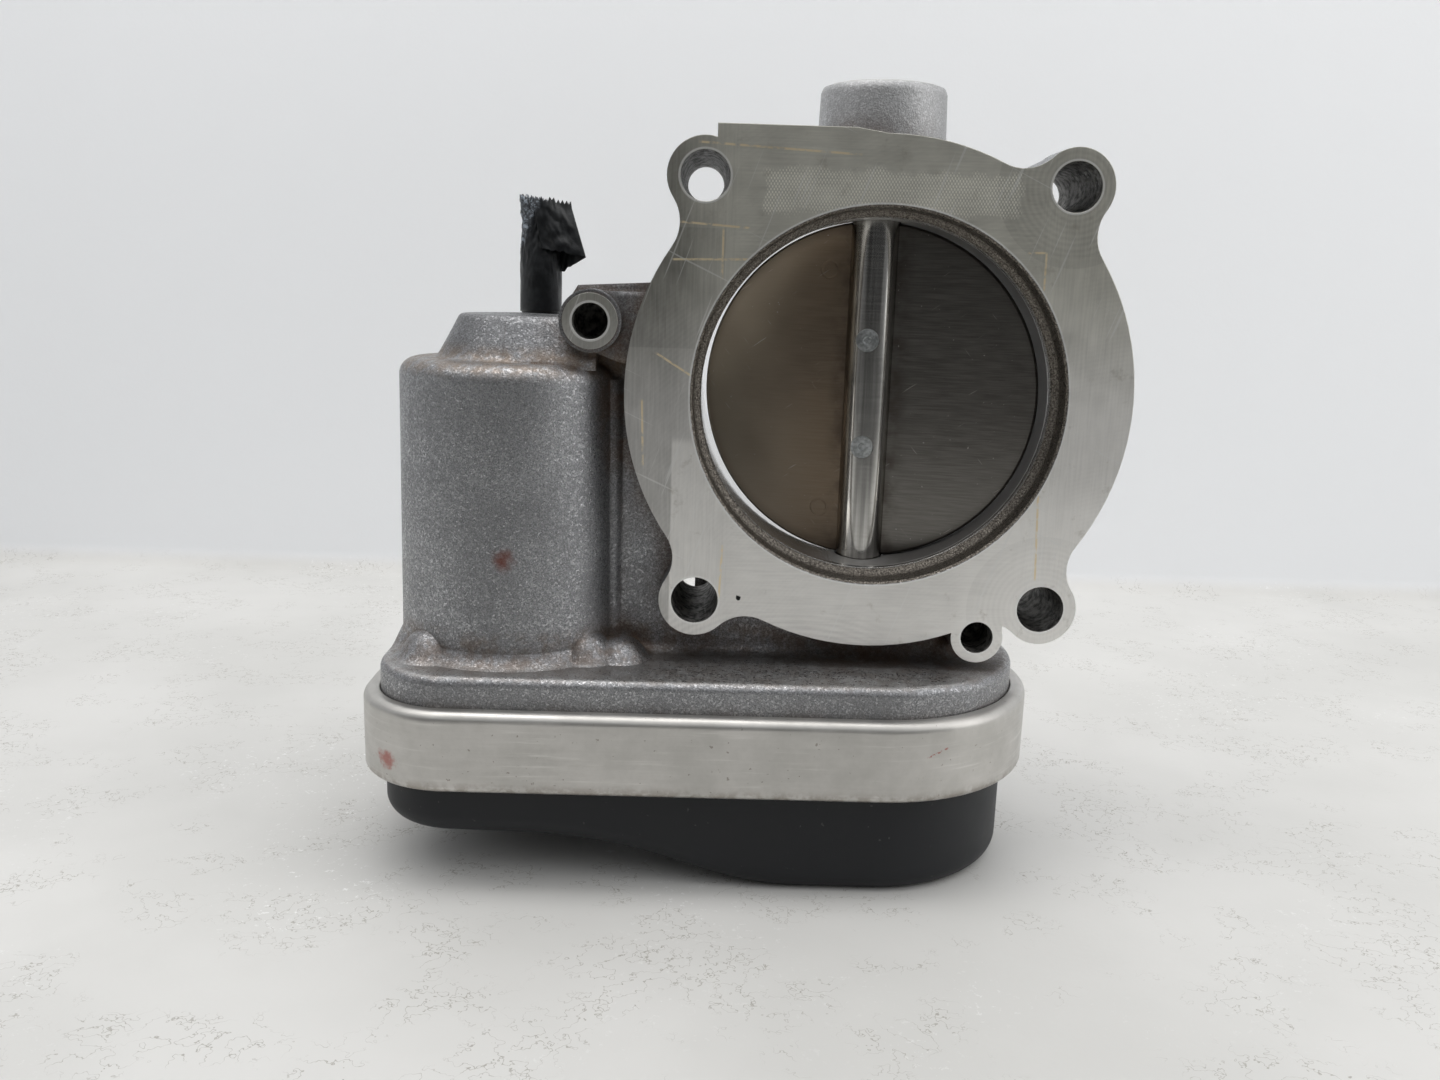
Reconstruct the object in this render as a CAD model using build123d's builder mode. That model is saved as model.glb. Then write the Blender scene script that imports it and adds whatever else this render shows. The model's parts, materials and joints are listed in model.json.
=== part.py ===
from build123d import *
import os
from math import atan, cos, pi, radians, sin, sqrt, tan

# Electronic throttle body. Millimetres. Origin: centre of the throttle bore on the machined flange face.
# +X to the right of the flange face, +Y into the casting along the bore, +Z up along the throttle shaft.

os.makedirs("parts", exist_ok=True)

# ---------------------------------------------------------------- driving dimensions
BORE_R = 35.0                # throttle bore
BARREL_R = 41.5              # outside of the barrel
BARREL_LENGTH = 62.0
SPIGOT_START = 44.0          # depth where the air hose may reach to
SPIGOT_R = 40.0
GRIP_GROOVES = (48.5, 52.5, 56.5)    # depths of the grooves that the air hose grips
GROOVE_DEPTH = 0.7
RELIEF_R = 36.7              # rough step behind the flange face
RELIEF_DEPTH = 5.8

FLANGE_R = 50.0
FLANGE_THICK = 9.0
BOLT_X = 35.2                # half of the bolt spacing
BOLT_Z = 41.4
EAR_R = 7.3
COLUMN_DEPTH = 26.0          # bolt columns, flange face to bolt seat
BOLT_HOLE_R = 3.75
BOLT_MOUTH_R = 4.75
BOLT_STRAIGHT = 7.0          # straight part of the bolt hole, at the seat

SHAFT_Y = 18.5               # throttle shaft behind the flange face
SHAFT_R = 5.0
RUNNING_GAP = 0.03           # radial clearance of turning pieces
PLATE_THICK = 2.4
REST_TILT = 14.0             # plate angle from fully across the bore, in its rest position
PLATE_GAP = 0.12
SCREW_Z = 11.0               # plate screws above and below the bore's middle

TOP_BOSS_R = 12.6
TOP_BOSS_Z = 60.7

MOTOR_HOUSING_R = 23.7
MOTOR_HOUSING_FOOT_R = 24.3
SHOULDER_Z = 5.0             # top of the motor housing's wide part
CONE_FOOT_R = 16.2
CONE_TOP_R = 11.3
CONE_TOP_Z = 14.0
MOTOR_CAN_R = 18.3
MOTOR_POCKET_R = 18.6

# gear train on one line: motor pinion, double intermediate gear, sector on the throttle shaft
PRESSURE = radians(20)
FAST_MODULE = 1.0
PINION_TEETH = 12
WHEEL_TEETH = 52
SLOW_MODULE = 1.5
SMALL_TEETH = 21
SECTOR_TEETH = 35
IDLER_X = -SLOW_MODULE * (SMALL_TEETH + SECTOR_TEETH) / 2
MOTOR_X = IDLER_X - FAST_MODULE * (PINION_TEETH + WHEEL_TEETH) / 2
PINION_SHIFT = 0.35
BACKLASH = 0.16

# gear tray, seen from above: a long oblong, rounder at the shaft end
TRAY_END_X = 2.6
TRAY_END_R = 31.4
TRAY_LEFT = -99.4
TRAY_CORNER_R = 16.0
TRAY_WALL = 2.2
TRAY_TOP_Z = -55.0
TRAY_ROOF_Z = -58.2
LIP_OUT = 2.2                # rims of tray and cover stand out this far
LIP_TOP_Z = -62.05
JOINT_Z = -69.0              # where tray and cover meet
LIP_LOW_Z = -76.45
COVER_IN = -0.6              # the cover's wall stands in from the tray's wall
COVER_WALL = 2.4
COVER_SHALLOW_Z = -88.0
COVER_DEEP_Z = -98.9
BAND_TOP_Z = -61.0
BAND_LOW_Z = -77.5
BAND_OUT = 3.5
BAND_SHEET = 1.0
BAND_TOP_EDGE_R = 2.0
BAND_LOW_EDGE_R = 1.3
BAND_GAP = 0.12              # between the band's lips and the walls of tray and cover
GASKET_LOW_Z = -70.6
GASKET_IN = -1.1
GASKET_OUT = 1.3

CABLE_X = -72.4
CABLE_Y = 44.9
CABLE_R = 4.4
OUTLET_TOP_Z = -45.0


def depth(y):
    """Plane parallel to the flange face, y behind it, drawn with +X right and +Z up."""
    return Plane.XZ.offset(-y)


def upright(x, y):
    """Vertical drawing plane through (x, y): local x is the radius, local y is the height."""
    return Plane(origin=(x, y, 0), x_dir=(1, 0, 0), z_dir=(0, -1, 0))


def vertical(x, y):
    return Axis((x, y, 0), (0, 0, 1))


def save(builder, name):
    builder.part.label = name
    export_step(builder.part, "parts/" + name + ".step")


def turned(x, y, outline):
    """Solid of revolution about the vertical line at (x, y), from (radius, height) corners."""
    with BuildPart(mode=Mode.PRIVATE) as blank:
        with BuildSketch(upright(x, y)):
            with BuildLine():
                Polyline(*outline, close=True)
            make_face()
        revolve(axis=vertical(x, y))
    return blank.part


def tube(x, y, inner, outer, low, high):
    return turned(x, y, [(inner, low), (outer, low), (outer, high), (inner, high)])


def tray_outline(z, grow):
    """The gear tray's outline from above at height z, grown or shrunk all round."""
    end_r = TRAY_END_R + grow
    corner_r = TRAY_CORNER_R + grow
    corner_x = TRAY_LEFT + TRAY_CORNER_R
    corner_dy = TRAY_END_R - TRAY_CORNER_R
    slant = corner_r * sin(radians(45))
    low, high = SHAFT_Y - end_r, SHAFT_Y + end_r
    with BuildSketch(Plane.XY.offset(z)) as outline:
        with BuildLine():
            Line((corner_x, low), (TRAY_END_X, low))
            ThreePointArc((TRAY_END_X, low), (TRAY_END_X + end_r, SHAFT_Y), (TRAY_END_X, high))
            Line((TRAY_END_X, high), (corner_x, high))
            ThreePointArc(
                (corner_x, high),
                (corner_x - slant, SHAFT_Y + corner_dy + slant),
                (corner_x - corner_r, SHAFT_Y + corner_dy),
            )
            Line((corner_x - corner_r, SHAFT_Y + corner_dy), (corner_x - corner_r, SHAFT_Y - corner_dy))
            ThreePointArc(
                (corner_x - corner_r, SHAFT_Y - corner_dy),
                (corner_x - slant, SHAFT_Y - corner_dy - slant),
                (corner_x, low),
            )
        make_face()
    return outline.sketch


def tray_slab(low, high, grow):
    """Slab of the tray's outline between two heights."""
    with BuildPart(mode=Mode.PRIVATE) as slab:
        extrude(tray_outline(low, grow), amount=high - low)
    return slab.part


def tray_ring(low, high, inner_grow, outer_grow):
    """Ring that follows the tray's outline between two growths and two heights."""
    with BuildPart(mode=Mode.PRIVATE) as ring:
        extrude(tray_outline(low, outer_grow), amount=high - low)
        extrude(tray_outline(low, inner_grow), amount=high - low, mode=Mode.SUBTRACT)
    return ring.part


def involute(base_r, radius):
    """Polar angle that an involute has turned through where it reaches a radius."""
    swing = sqrt(max((radius / base_r) ** 2 - 1, 0))
    return swing - atan(swing)


def gear_corners(module, teeth, first=0.0, shift=0.0):
    """Corners of a spur gear's outline, with one tooth centred on the angle first, in degrees."""
    flank_steps = 4
    pitch_r = module * teeth / 2
    base_r = pitch_r * cos(PRESSURE)
    tip_r = pitch_r + module * (1 + shift)
    root_r = pitch_r - module * (1.25 - shift)
    half = (module * (pi / 2 + 2 * shift * tan(PRESSURE)) - BACKLASH) / (2 * pitch_r)
    start_r = max(base_r, root_r)
    radii = [start_r + (tip_r - start_r) * step / flank_steps for step in range(flank_steps + 1)]
    flank = [(r, half + involute(base_r, pitch_r) - involute(base_r, r)) for r in radii]
    if root_r < base_r:
        flank.insert(0, (root_r, flank[0][1]))
    corners = []
    for tooth in range(teeth):
        middle = radians(first) + 2 * pi * tooth / teeth
        corners += [(r * cos(middle - a), r * sin(middle - a)) for r, a in flank]
        corners += [(r * cos(middle + a), r * sin(middle + a)) for r, a in reversed(flank)]
    return corners


def shifted(corners, x, y):
    return [(x + px, y + py) for px, py in corners]


def polar(radius, angle, x=0.0, y=SHAFT_Y):
    return (x + radius * cos(radians(angle)), y + radius * sin(radians(angle)))


def pie(x, y, radius, start, end):
    """Corners of a pie slice that is wide enough to contain a radius."""
    steps = 8
    far = radius / cos(radians(end - start) / steps / 2)
    rim = [polar(far, start + (end - start) * step / steps, x, y) for step in range(steps + 1)]
    return [(x, y)] + rim


# ---------------------------------------------------------------- throttle housing, cast aluminium
HOLES = [(-BOLT_X, BOLT_Z), (BOLT_X, BOLT_Z), (-BOLT_X, -BOLT_Z), (BOLT_X, -BOLT_Z)]
EAR_BLEND_R = 8.0
TOP_PAD_LEFT = -33.1         # raised pad on the flange's upper left edge
TOP_PAD_RIGHT = -7.0
TOP_PAD_Z = 50.9
SIDE_BOSS = (-56.8, 13.7)    # threaded boss beside the flange
SIDE_BOSS_R = 6.1
SIDE_BOSS_FACE_R = 5.4
SIDE_HOLE_R = 3.5
LOW_LUG = (22.7, -47.7)      # threaded lug under the flange
LOW_LUG_R = 5.3
LOW_HOLE_R = 3.3
BLIND_DEPTH = 11.0
PEDESTAL_FRONT = 8.5
PEDESTAL_BACK = 43.0
WEB_TOP_Z = 20.4
FOOT_BLEND = 2.6
FOOT_FLARE = 4.2             # radius of the hollow flare at the motor housing's foot
SCREW_MOUNDS = (              # angle round the motor axis, ring radius, mound radius, top height
    (228.0, 22.4, 8.6, -49.2),
    (318.0, 22.4, 8.4, -49.2),
    (329.0, 27.5, 7.6, -50.6),
)
TRAY_EDGE_R = 1.8
SHOULDER_R = 3.5
VALLEY_R = 2.4
CONE_EDGE_R = 1.4
WALL_BLEND_R = 3.0
BEARING_R = 7.0              # needle bearings, 10 x 14 x 12
LOWER_BEARING_LOW_Z = -54.5
LOWER_BEARING_TOP_Z = -42.5
UPPER_BEARING_LOW_Z = 42.5
UPPER_BEARING_TOP_Z = 54.5
SEAL_OUT_Z = 38.4            # shaft seals stand between the bearings and the bore
SNOUT_R = 8.6                # snout around the lower bearing, carries the spring's sleeve
SNOUT_LOW_Z = -66.0
PLUG_R = 9.5
PLUG_LOW_Z = 57.6
SCREW_ANGLES = (228.0, 318.0)    # motor screws around the motor axis
SCREW_RING_R = 21.2
PIN_R = 3.0
PIN_TOP_Z = -46.0
SPRING_R = 11.0
WIRE_R = 0.8
SPRING_TOP_Z = -60.2
SPRING_LOW_Z = -69.8
FIXED_LEG_ANGLE = 100.0
FREE_LEG_ANGLE = 290.0
STOP_LUG_ANGLE = 30.0
STOP_LUG_HALF = 4.0
CLOSE_TRAVEL = 9.0
OPEN_TRAVEL = 76.0

# the motor housing's foot flares out where it meets the tray, and mounds cover the motor's screws;
# neither reaches past the tray's own edge
with BuildPart() as motor_foot:
    with BuildSketch(upright(MOTOR_X, SHAFT_Y)):
        with BuildLine():
            Polyline((MOTOR_HOUSING_FOOT_R - 0.3, TRAY_TOP_Z + FOOT_FLARE), (15, TRAY_TOP_Z + FOOT_FLARE),
                     (15, TRAY_ROOF_Z + 0.3), (MOTOR_HOUSING_FOOT_R + FOOT_FLARE, TRAY_ROOF_Z + 0.3),
                     (MOTOR_HOUSING_FOOT_R + FOOT_FLARE, TRAY_TOP_Z - 0.25))
            ThreePointArc((MOTOR_HOUSING_FOOT_R + FOOT_FLARE, TRAY_TOP_Z - 0.25),
                          (MOTOR_HOUSING_FOOT_R + 1.0, TRAY_TOP_Z + 1.1),
                          (MOTOR_HOUSING_FOOT_R - 0.3, TRAY_TOP_Z + FOOT_FLARE))
        make_face()
    revolve(axis=vertical(MOTOR_X, SHAFT_Y))
    for angle, ring_r, mound_r, top_z in SCREW_MOUNDS:
        x, y = polar(ring_r, angle, MOTOR_X)
        with BuildSketch(upright(x, y)):
            with BuildLine():
                Polyline((mound_r, TRAY_TOP_Z - 0.3), (mound_r, TRAY_ROOF_Z + 0.3), (0, TRAY_ROOF_Z + 0.3),
                         (0, top_z))
                Spline((0, top_z), (mound_r * 0.58, (top_z + TRAY_TOP_Z) / 2 + 0.3),
                       (mound_r, TRAY_TOP_Z - 0.3), tangents=[(1, 0), (1, -0.3)])
            make_face()
        revolve(axis=vertical(x, y))
    add(tray_slab(TRAY_ROOF_Z, TRAY_TOP_Z + 9, -0.9), mode=Mode.INTERSECT)

# tray top with the pedestal and the wall that stand on it, blended all round
with BuildPart() as tray_top:
    add(tray_slab(JOINT_Z, TRAY_TOP_Z, 0))
    fillet(tray_top.faces().sort_by(Axis.Z)[-1].edges(), TRAY_EDGE_R)
    with BuildSketch(Plane.XY.offset(TRAY_TOP_Z - 1)):
        with BuildLine():
            Polyline(
                (MOTOR_X, PEDESTAL_FRONT),
                (17, PEDESTAL_FRONT),
                (21.5, PEDESTAL_FRONT + 5),
                (21.5, PEDESTAL_BACK - 5),
                (17, PEDESTAL_BACK),
                (-30, PEDESTAL_BACK),
                (-42, 32),
                (MOTOR_X, 30),
                close=True,
            )
        make_face()
    extrude(amount=-25 - TRAY_TOP_Z + 1)
    pedestal_edges = tray_top.edges().filter_by(lambda e: e.center().Z > TRAY_TOP_Z and e.center().X > 10)
    fillet(pedestal_edges.filter_by(Axis.Z), 3.0)
    foot_edges = tray_top.edges().filter_by(lambda e: abs(e.center().Z - TRAY_TOP_Z) < 0.01)
    foot_edges = foot_edges.filter_by(lambda e: e.center().X > MOTOR_X + 4)
    fillet(foot_edges.filter_by(lambda e: PEDESTAL_FRONT - 1 < e.center().Y < PEDESTAL_BACK + 1), FOOT_BLEND)

with BuildPart() as housing:
    # flange with its four ears
    with BuildSketch(depth(0)) as flange_outline:
        Circle(FLANGE_R)
        with Locations(*HOLES):
            Circle(EAR_R)
        fillet(flange_outline.vertices(), EAR_BLEND_R)
        with BuildLine():
            Polyline(
                (TOP_PAD_LEFT, BOLT_Z),
                (TOP_PAD_LEFT, TOP_PAD_Z),
                (TOP_PAD_RIGHT, TOP_PAD_Z),
                (0, FLANGE_R - 0.1),
                (0, BOLT_Z),
                close=True,
            )
        make_face()
    extrude(amount=-FLANGE_THICK)
    # bolt columns, slightly drafted
    with BuildSketch(depth(0)):
        with Locations(*HOLES):
            Circle(EAR_R)
    extrude(amount=-COLUMN_DEPTH, taper=1.5)
    # ribs from the bolt columns to the barrel
    with BuildSketch(depth(FLANGE_THICK)):
        for x, z in HOLES:
            with BuildLine():
                Polyline((x * 1.08, z * 0.93), (x * 0.92, z * 1.07), (x * 0.6, z * 0.8), (x * 0.8, z * 0.6),
                         close=True)
            make_face()
    extrude(amount=FLANGE_THICK - COLUMN_DEPTH + 1)
    # barrel and hose spigot
    with BuildSketch(Plane.XY):
        with BuildLine():
            Polyline(
                (0, 1),
                (BARREL_R + 1.5, 1),
                (BARREL_R, SPIGOT_START - 4),
                (BARREL_R, SPIGOT_START - 1),
                (SPIGOT_R, SPIGOT_START),
                (SPIGOT_R, BARREL_LENGTH - 1.2),
                (SPIGOT_R - 0.8, BARREL_LENGTH),
                (0, BARREL_LENGTH),
                close=True,
            )
        make_face()
    revolve(axis=Axis.Y)
    with BuildSketch(Plane.XY):
        for y in GRIP_GROOVES:
            with BuildLine():
                Polyline((SPIGOT_R + 1, y - 0.9), (SPIGOT_R, y - 0.9), (SPIGOT_R - GROOVE_DEPTH, y - 0.4),
                         (SPIGOT_R - GROOVE_DEPTH, y + 0.4), (SPIGOT_R, y + 0.9), (SPIGOT_R + 1, y + 0.9),
                         close=True)
            make_face()
    revolve(axis=Axis.Y, mode=Mode.SUBTRACT)
    # top bearing boss and its foot on the barrel
    add(turned(0, SHAFT_Y, [
        (0, 30), (TOP_BOSS_R + 2.6, 30), (TOP_BOSS_R + 2.2, 43), (TOP_BOSS_R + 0.4, 47),
        (TOP_BOSS_R, TOP_BOSS_Z - 1.4), (TOP_BOSS_R - 0.4, TOP_BOSS_Z - 0.4),
        (TOP_BOSS_R - 1.4, TOP_BOSS_Z), (0, TOP_BOSS_Z),
    ]))
    # gear tray's top and the pedestal between it and the barrel
    add(tray_top.part)
    # wall between the motor housing and the barrel
    with BuildSketch(depth(PEDESTAL_FRONT)):
        with BuildLine():
            Polyline((MOTOR_X, TRAY_ROOF_Z), (-20, TRAY_ROOF_Z), (-20, WEB_TOP_Z + 6), (-44, WEB_TOP_Z + 1),
                     (-60, WEB_TOP_Z), (MOTOR_X, WEB_TOP_Z - 22), close=True)
        make_face()
    extrude(amount=-12)
    # the wall's blend into the motor housing
    blend_y = PEDESTAL_FRONT - WALL_BLEND_R
    blend_far = MOTOR_HOUSING_R + WALL_BLEND_R
    blend_x = MOTOR_X + sqrt(blend_far ** 2 - (SHAFT_Y - blend_y) ** 2)
    share = MOTOR_HOUSING_R / blend_far
    with BuildSketch(Plane.XY.offset(TRAY_ROOF_Z)):
        with BuildLine():
            RadiusArc(
                (blend_x, PEDESTAL_FRONT),
                (MOTOR_X + share * (blend_x - MOTOR_X), SHAFT_Y - share * (SHAFT_Y - blend_y)),
                WALL_BLEND_R,
            )
            Polyline(
                (MOTOR_X + share * (blend_x - MOTOR_X), SHAFT_Y - share * (SHAFT_Y - blend_y)),
                (MOTOR_X + 15, 14),
                (blend_x, PEDESTAL_FRONT + 4),
                (blend_x, PEDESTAL_FRONT),
            )
        make_face()
    extrude(amount=SHOULDER_Z - 3.0 - TRAY_ROOF_Z)
    # bridge from the motor housing's cone to the side boss
    with BuildSketch(Plane.YZ.offset(MOTOR_X)):
        with BuildLine():
            Polyline(
                (SHAFT_Y - CONE_FOOT_R, SHOULDER_Z - 1), (SHAFT_Y - CONE_FOOT_R, SHOULDER_Z + 0.4),
                (SHAFT_Y - CONE_TOP_R - 0.6, CONE_TOP_Z - 1), (SHAFT_Y - CONE_TOP_R + 0.5, CONE_TOP_Z),
                (26, CONE_TOP_Z), (26, SHOULDER_Z - 1), close=True,
            )
        make_face()
    extrude(amount=SIDE_BOSS[0] + 1 - MOTOR_X)
    # side boss with its gusset to the flange
    with BuildSketch(depth(0)):
        with Locations(SIDE_BOSS):
            Circle(SIDE_BOSS_FACE_R)
    extrude(amount=-1)
    with BuildSketch(depth(0.6)):
        with Locations(SIDE_BOSS):
            Circle(SIDE_BOSS_R)
    extrude(amount=-15)
    with BuildSketch(depth(3.2)):
        with BuildLine():
            Polyline((-59, 19.4), (-44, 19.4), (-44, 4), (-52, 6), (-60, 9), close=True)
        make_face()
    extrude(amount=-10)
    # lug under the flange
    with BuildSketch(depth(0)):
        with Locations(LOW_LUG):
            Circle(LOW_LUG_R)
        with BuildLine():
            Polyline((17.6, -40), (17.6, -46), (27.8, -47), (27.8, -38), close=True)
        make_face()
    extrude(amount=-14)
    # motor housing
    with BuildSketch(upright(MOTOR_X, SHAFT_Y)) as motor_outline:
        with BuildLine():
            Polyline(
                (0, TRAY_ROOF_Z),
                (MOTOR_HOUSING_FOOT_R, TRAY_ROOF_Z),
                (MOTOR_HOUSING_R, SHOULDER_Z),
                (CONE_FOOT_R, SHOULDER_Z),
                (CONE_TOP_R, CONE_TOP_Z),
                (0, CONE_TOP_Z + 0.4),
                close=True,
            )
        make_face()
        for radius, z, blend in (
            (MOTOR_HOUSING_R, SHOULDER_Z, SHOULDER_R),
            (CONE_FOOT_R, SHOULDER_Z, VALLEY_R),
            (CONE_TOP_R, CONE_TOP_Z, CONE_EDGE_R),
        ):
            fillet(motor_outline.vertices().sort_by_distance((radius, z, 0))[0], blend)
    revolve(axis=vertical(MOTOR_X, SHAFT_Y))
    add(motor_foot.part)
    # cable outlet behind the motor housing
    add(turned(CABLE_X, CABLE_Y, [(0, -60.6), (8.8, -60.6), (8.3, OUTLET_TOP_Z + 0.8), (7.6, OUTLET_TOP_Z),
                                  (0, OUTLET_TOP_Z)]))
    # the gear tray's rim and its hollow
    add(tray_slab(JOINT_Z, LIP_TOP_Z, LIP_OUT))
    add(tray_slab(JOINT_Z, TRAY_ROOF_Z, -TRAY_WALL), mode=Mode.SUBTRACT)
    # bosses and stops that hang from the tray's roof
    add(tube(IDLER_X, SHAFT_Y, 0, 7.5, -62.0, -57))
    for edge, width in ((STOP_LUG_ANGLE + STOP_LUG_HALF + CLOSE_TRAVEL + 0.5, 8),
                        (STOP_LUG_ANGLE - STOP_LUG_HALF - OPEN_TRAVEL - 0.5, -8)):
        with BuildSketch(Plane.XY.offset(-71.5)):
            with BuildLine():
                Polyline(polar(15, edge), polar(20, edge), polar(20, edge + width), polar(15, edge + width),
                         close=True)
            make_face()
        extrude(amount=14)
    # throttle bore with its rough relief and the funnel at the hose end
    with BuildSketch(Plane.XY):
        with BuildLine():
            Polyline(
                (0, -1),
                (RELIEF_R + 0.5, -1),
                (RELIEF_R + 0.5, 0),
                (RELIEF_R, 0.5),
                (RELIEF_R - 0.2, RELIEF_DEPTH - 1.2),
                (BORE_R, RELIEF_DEPTH),
                (BORE_R, BARREL_LENGTH - 12),
                (BORE_R + 2.4, BARREL_LENGTH),
                (BORE_R + 2.4, BARREL_LENGTH + 1),
                (0, BARREL_LENGTH + 1),
                close=True,
            )
        make_face()
    revolve(axis=Axis.Y, mode=Mode.SUBTRACT)
    # stepped hole for the throttle shaft, bearings, seals and end plug
    add(tube(0, SHAFT_Y, 0, SNOUT_R, SNOUT_LOW_Z, TRAY_ROOF_Z + 1))
    add(turned(0, SHAFT_Y, [
        (0, SNOUT_LOW_Z - 1), (BEARING_R, SNOUT_LOW_Z - 1), (BEARING_R, -SEAL_OUT_Z),
        (SHAFT_R + 0.4, -SEAL_OUT_Z), (SHAFT_R + 0.4, SEAL_OUT_Z), (BEARING_R, SEAL_OUT_Z),
        (BEARING_R, PLUG_LOW_Z), (PLUG_R, PLUG_LOW_Z), (PLUG_R, TOP_BOSS_Z + 1), (0, TOP_BOSS_Z + 1),
    ]), mode=Mode.SUBTRACT)
    # motor pocket
    add(turned(MOTOR_X, SHAFT_Y, [
        (0, JOINT_Z + 5), (MOTOR_POCKET_R, JOINT_Z + 5), (MOTOR_POCKET_R, 0.4), (7.2, 0.4), (7.2, 6.5),
        (0, 6.5),
    ]), mode=Mode.SUBTRACT)
    for angle in SCREW_ANGLES:
        x, y = polar(SCREW_RING_R, angle, MOTOR_X)
        add(tube(x, y, 0, 1.5, TRAY_ROOF_Z - 1, -50), mode=Mode.SUBTRACT)
    # hole for the spring's fixed leg, and for the intermediate pin
    add(tube(*polar(SPRING_R, FIXED_LEG_ANGLE), 0, WIRE_R + 0.1, -59, -56.4), mode=Mode.SUBTRACT)
    add(tube(IDLER_X, SHAFT_Y, 0, PIN_R, -63, PIN_TOP_Z), mode=Mode.SUBTRACT)
    # cable outlet hole, and the groove in the motor housing that lets the cable stand close to it
    add(tube(CABLE_X, CABLE_Y, 0, 6.0, TRAY_ROOF_Z - 0.1, OUTLET_TOP_Z + 4), mode=Mode.SUBTRACT)
    add(tube(CABLE_X, CABLE_Y, 0, CABLE_R + 0.4, OUTLET_TOP_Z, 20), mode=Mode.SUBTRACT)
    # bolt holes, cored with draft and straight at the seat
    for x, z in HOLES:
        with BuildSketch(Plane.XY):
            with BuildLine():
                Polyline(
                    (x, -1),
                    (x + BOLT_MOUTH_R + 0.05, -1),
                    (x + BOLT_MOUTH_R, 0),
                    (x + BOLT_HOLE_R, COLUMN_DEPTH - BOLT_STRAIGHT),
                    (x + BOLT_HOLE_R, COLUMN_DEPTH + 9),
                    (x, COLUMN_DEPTH + 9),
                    close=True,
                )
            make_face()
        hole = revolve(axis=Axis((x, 0, 0), (0, 1, 0)), mode=Mode.PRIVATE)
        add(hole.moved(Location((0, 0, z))), mode=Mode.SUBTRACT)
        # flat spot for the bolt's head
        with BuildSketch(depth(COLUMN_DEPTH)):
            with Locations((x, z)):
                Circle(7.6)
        extrude(amount=-12, mode=Mode.SUBTRACT)
    # blind holes of the side boss and the lug, with drill points
    for (x, z), r in ((SIDE_BOSS, SIDE_HOLE_R), (LOW_LUG, LOW_HOLE_R)):
        with BuildSketch(Plane.XY):
            with BuildLine():
                Polyline((x, -1), (x + r, -1), (x + r, BLIND_DEPTH), (x, BLIND_DEPTH + r * 0.6), close=True)
            make_face()
        drill = revolve(axis=Axis((x, 0, 0), (0, 1, 0)), mode=Mode.PRIVATE)
        add(drill.moved(Location((0, 0, z))), mode=Mode.SUBTRACT)
save(housing, "throttle_housing")

# ---------------------------------------------------------------- throttle shaft and plate
SHAFT_TOP_Z = 55.5
SHAFT_LOW_Z = -83.0
FLAT_TOP_Z = -72.5           # the sector sits on flats below this height
FLAT_HALF = 4.0
SLOT_LENGTH = 2 * (BORE_R - 0.05)
SCREW_R = 2.3
SCREW_HOLE_R = 2.33
REST_PLANE = Plane(
    origin=(0, SHAFT_Y, 0),
    x_dir=(cos(radians(REST_TILT)), -sin(radians(REST_TILT)), 0),
    z_dir=(-sin(radians(REST_TILT)), -cos(radians(REST_TILT)), 0),
)

with BuildPart() as shaft:
    add(turned(0, SHAFT_Y, [
        (0, SHAFT_LOW_Z), (SHAFT_R - 0.5, SHAFT_LOW_Z), (SHAFT_R, SHAFT_LOW_Z + 0.5),
        (SHAFT_R, SHAFT_TOP_Z - 0.8), (SHAFT_R - 0.8, SHAFT_TOP_Z), (0, SHAFT_TOP_Z),
    ]))
    # slot for the plate, from side to side
    with BuildSketch(REST_PLANE):
        Rectangle(4 * SHAFT_R, SLOT_LENGTH)
    extrude(amount=PLATE_THICK / 2 + 0.02, both=True, mode=Mode.SUBTRACT)
    # holes for the plate screws
    with BuildSketch(REST_PLANE):
        with Locations((0, SCREW_Z), (0, -SCREW_Z)):
            Circle(SCREW_HOLE_R)
    extrude(amount=2 * SHAFT_R, both=True, mode=Mode.SUBTRACT)
    # flats for the sector gear
    for side in (1, -1):
        with BuildSketch(Plane.XY.offset(SHAFT_LOW_Z - 1)):
            with Locations((0, SHAFT_Y + side * (FLAT_HALF + 2))):
                Rectangle(20, 4)
        extrude(amount=FLAT_TOP_Z - SHAFT_LOW_Z + 1, mode=Mode.SUBTRACT)
save(shaft, "throttle_shaft")

with BuildPart() as plate:
    # round disc whose rim is bevelled to the bore where it lies almost closed
    with BuildSketch(REST_PLANE):
        Circle(BORE_R - PLATE_GAP)
    extrude(amount=PLATE_THICK / 2, both=True)
    rim_edges = plate.edges().filter_by(GeomType.CIRCLE)
    chamfer(rim_edges, 0.5)
    with BuildSketch(REST_PLANE):
        with Locations((0, SCREW_Z), (0, -SCREW_Z)):
            Circle(SCREW_HOLE_R)
    extrude(amount=PLATE_THICK, both=True, mode=Mode.SUBTRACT)
    # punched marks on the half that stands away
    with BuildSketch(REST_PLANE.offset(PLATE_THICK / 2)):
        with Locations((-9, 25), (-9, -25)):
            Circle(1.9)
            Circle(1.5, mode=Mode.SUBTRACT)
    extrude(amount=-0.15, mode=Mode.SUBTRACT)
save(plate, "throttle_plate")

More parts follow.
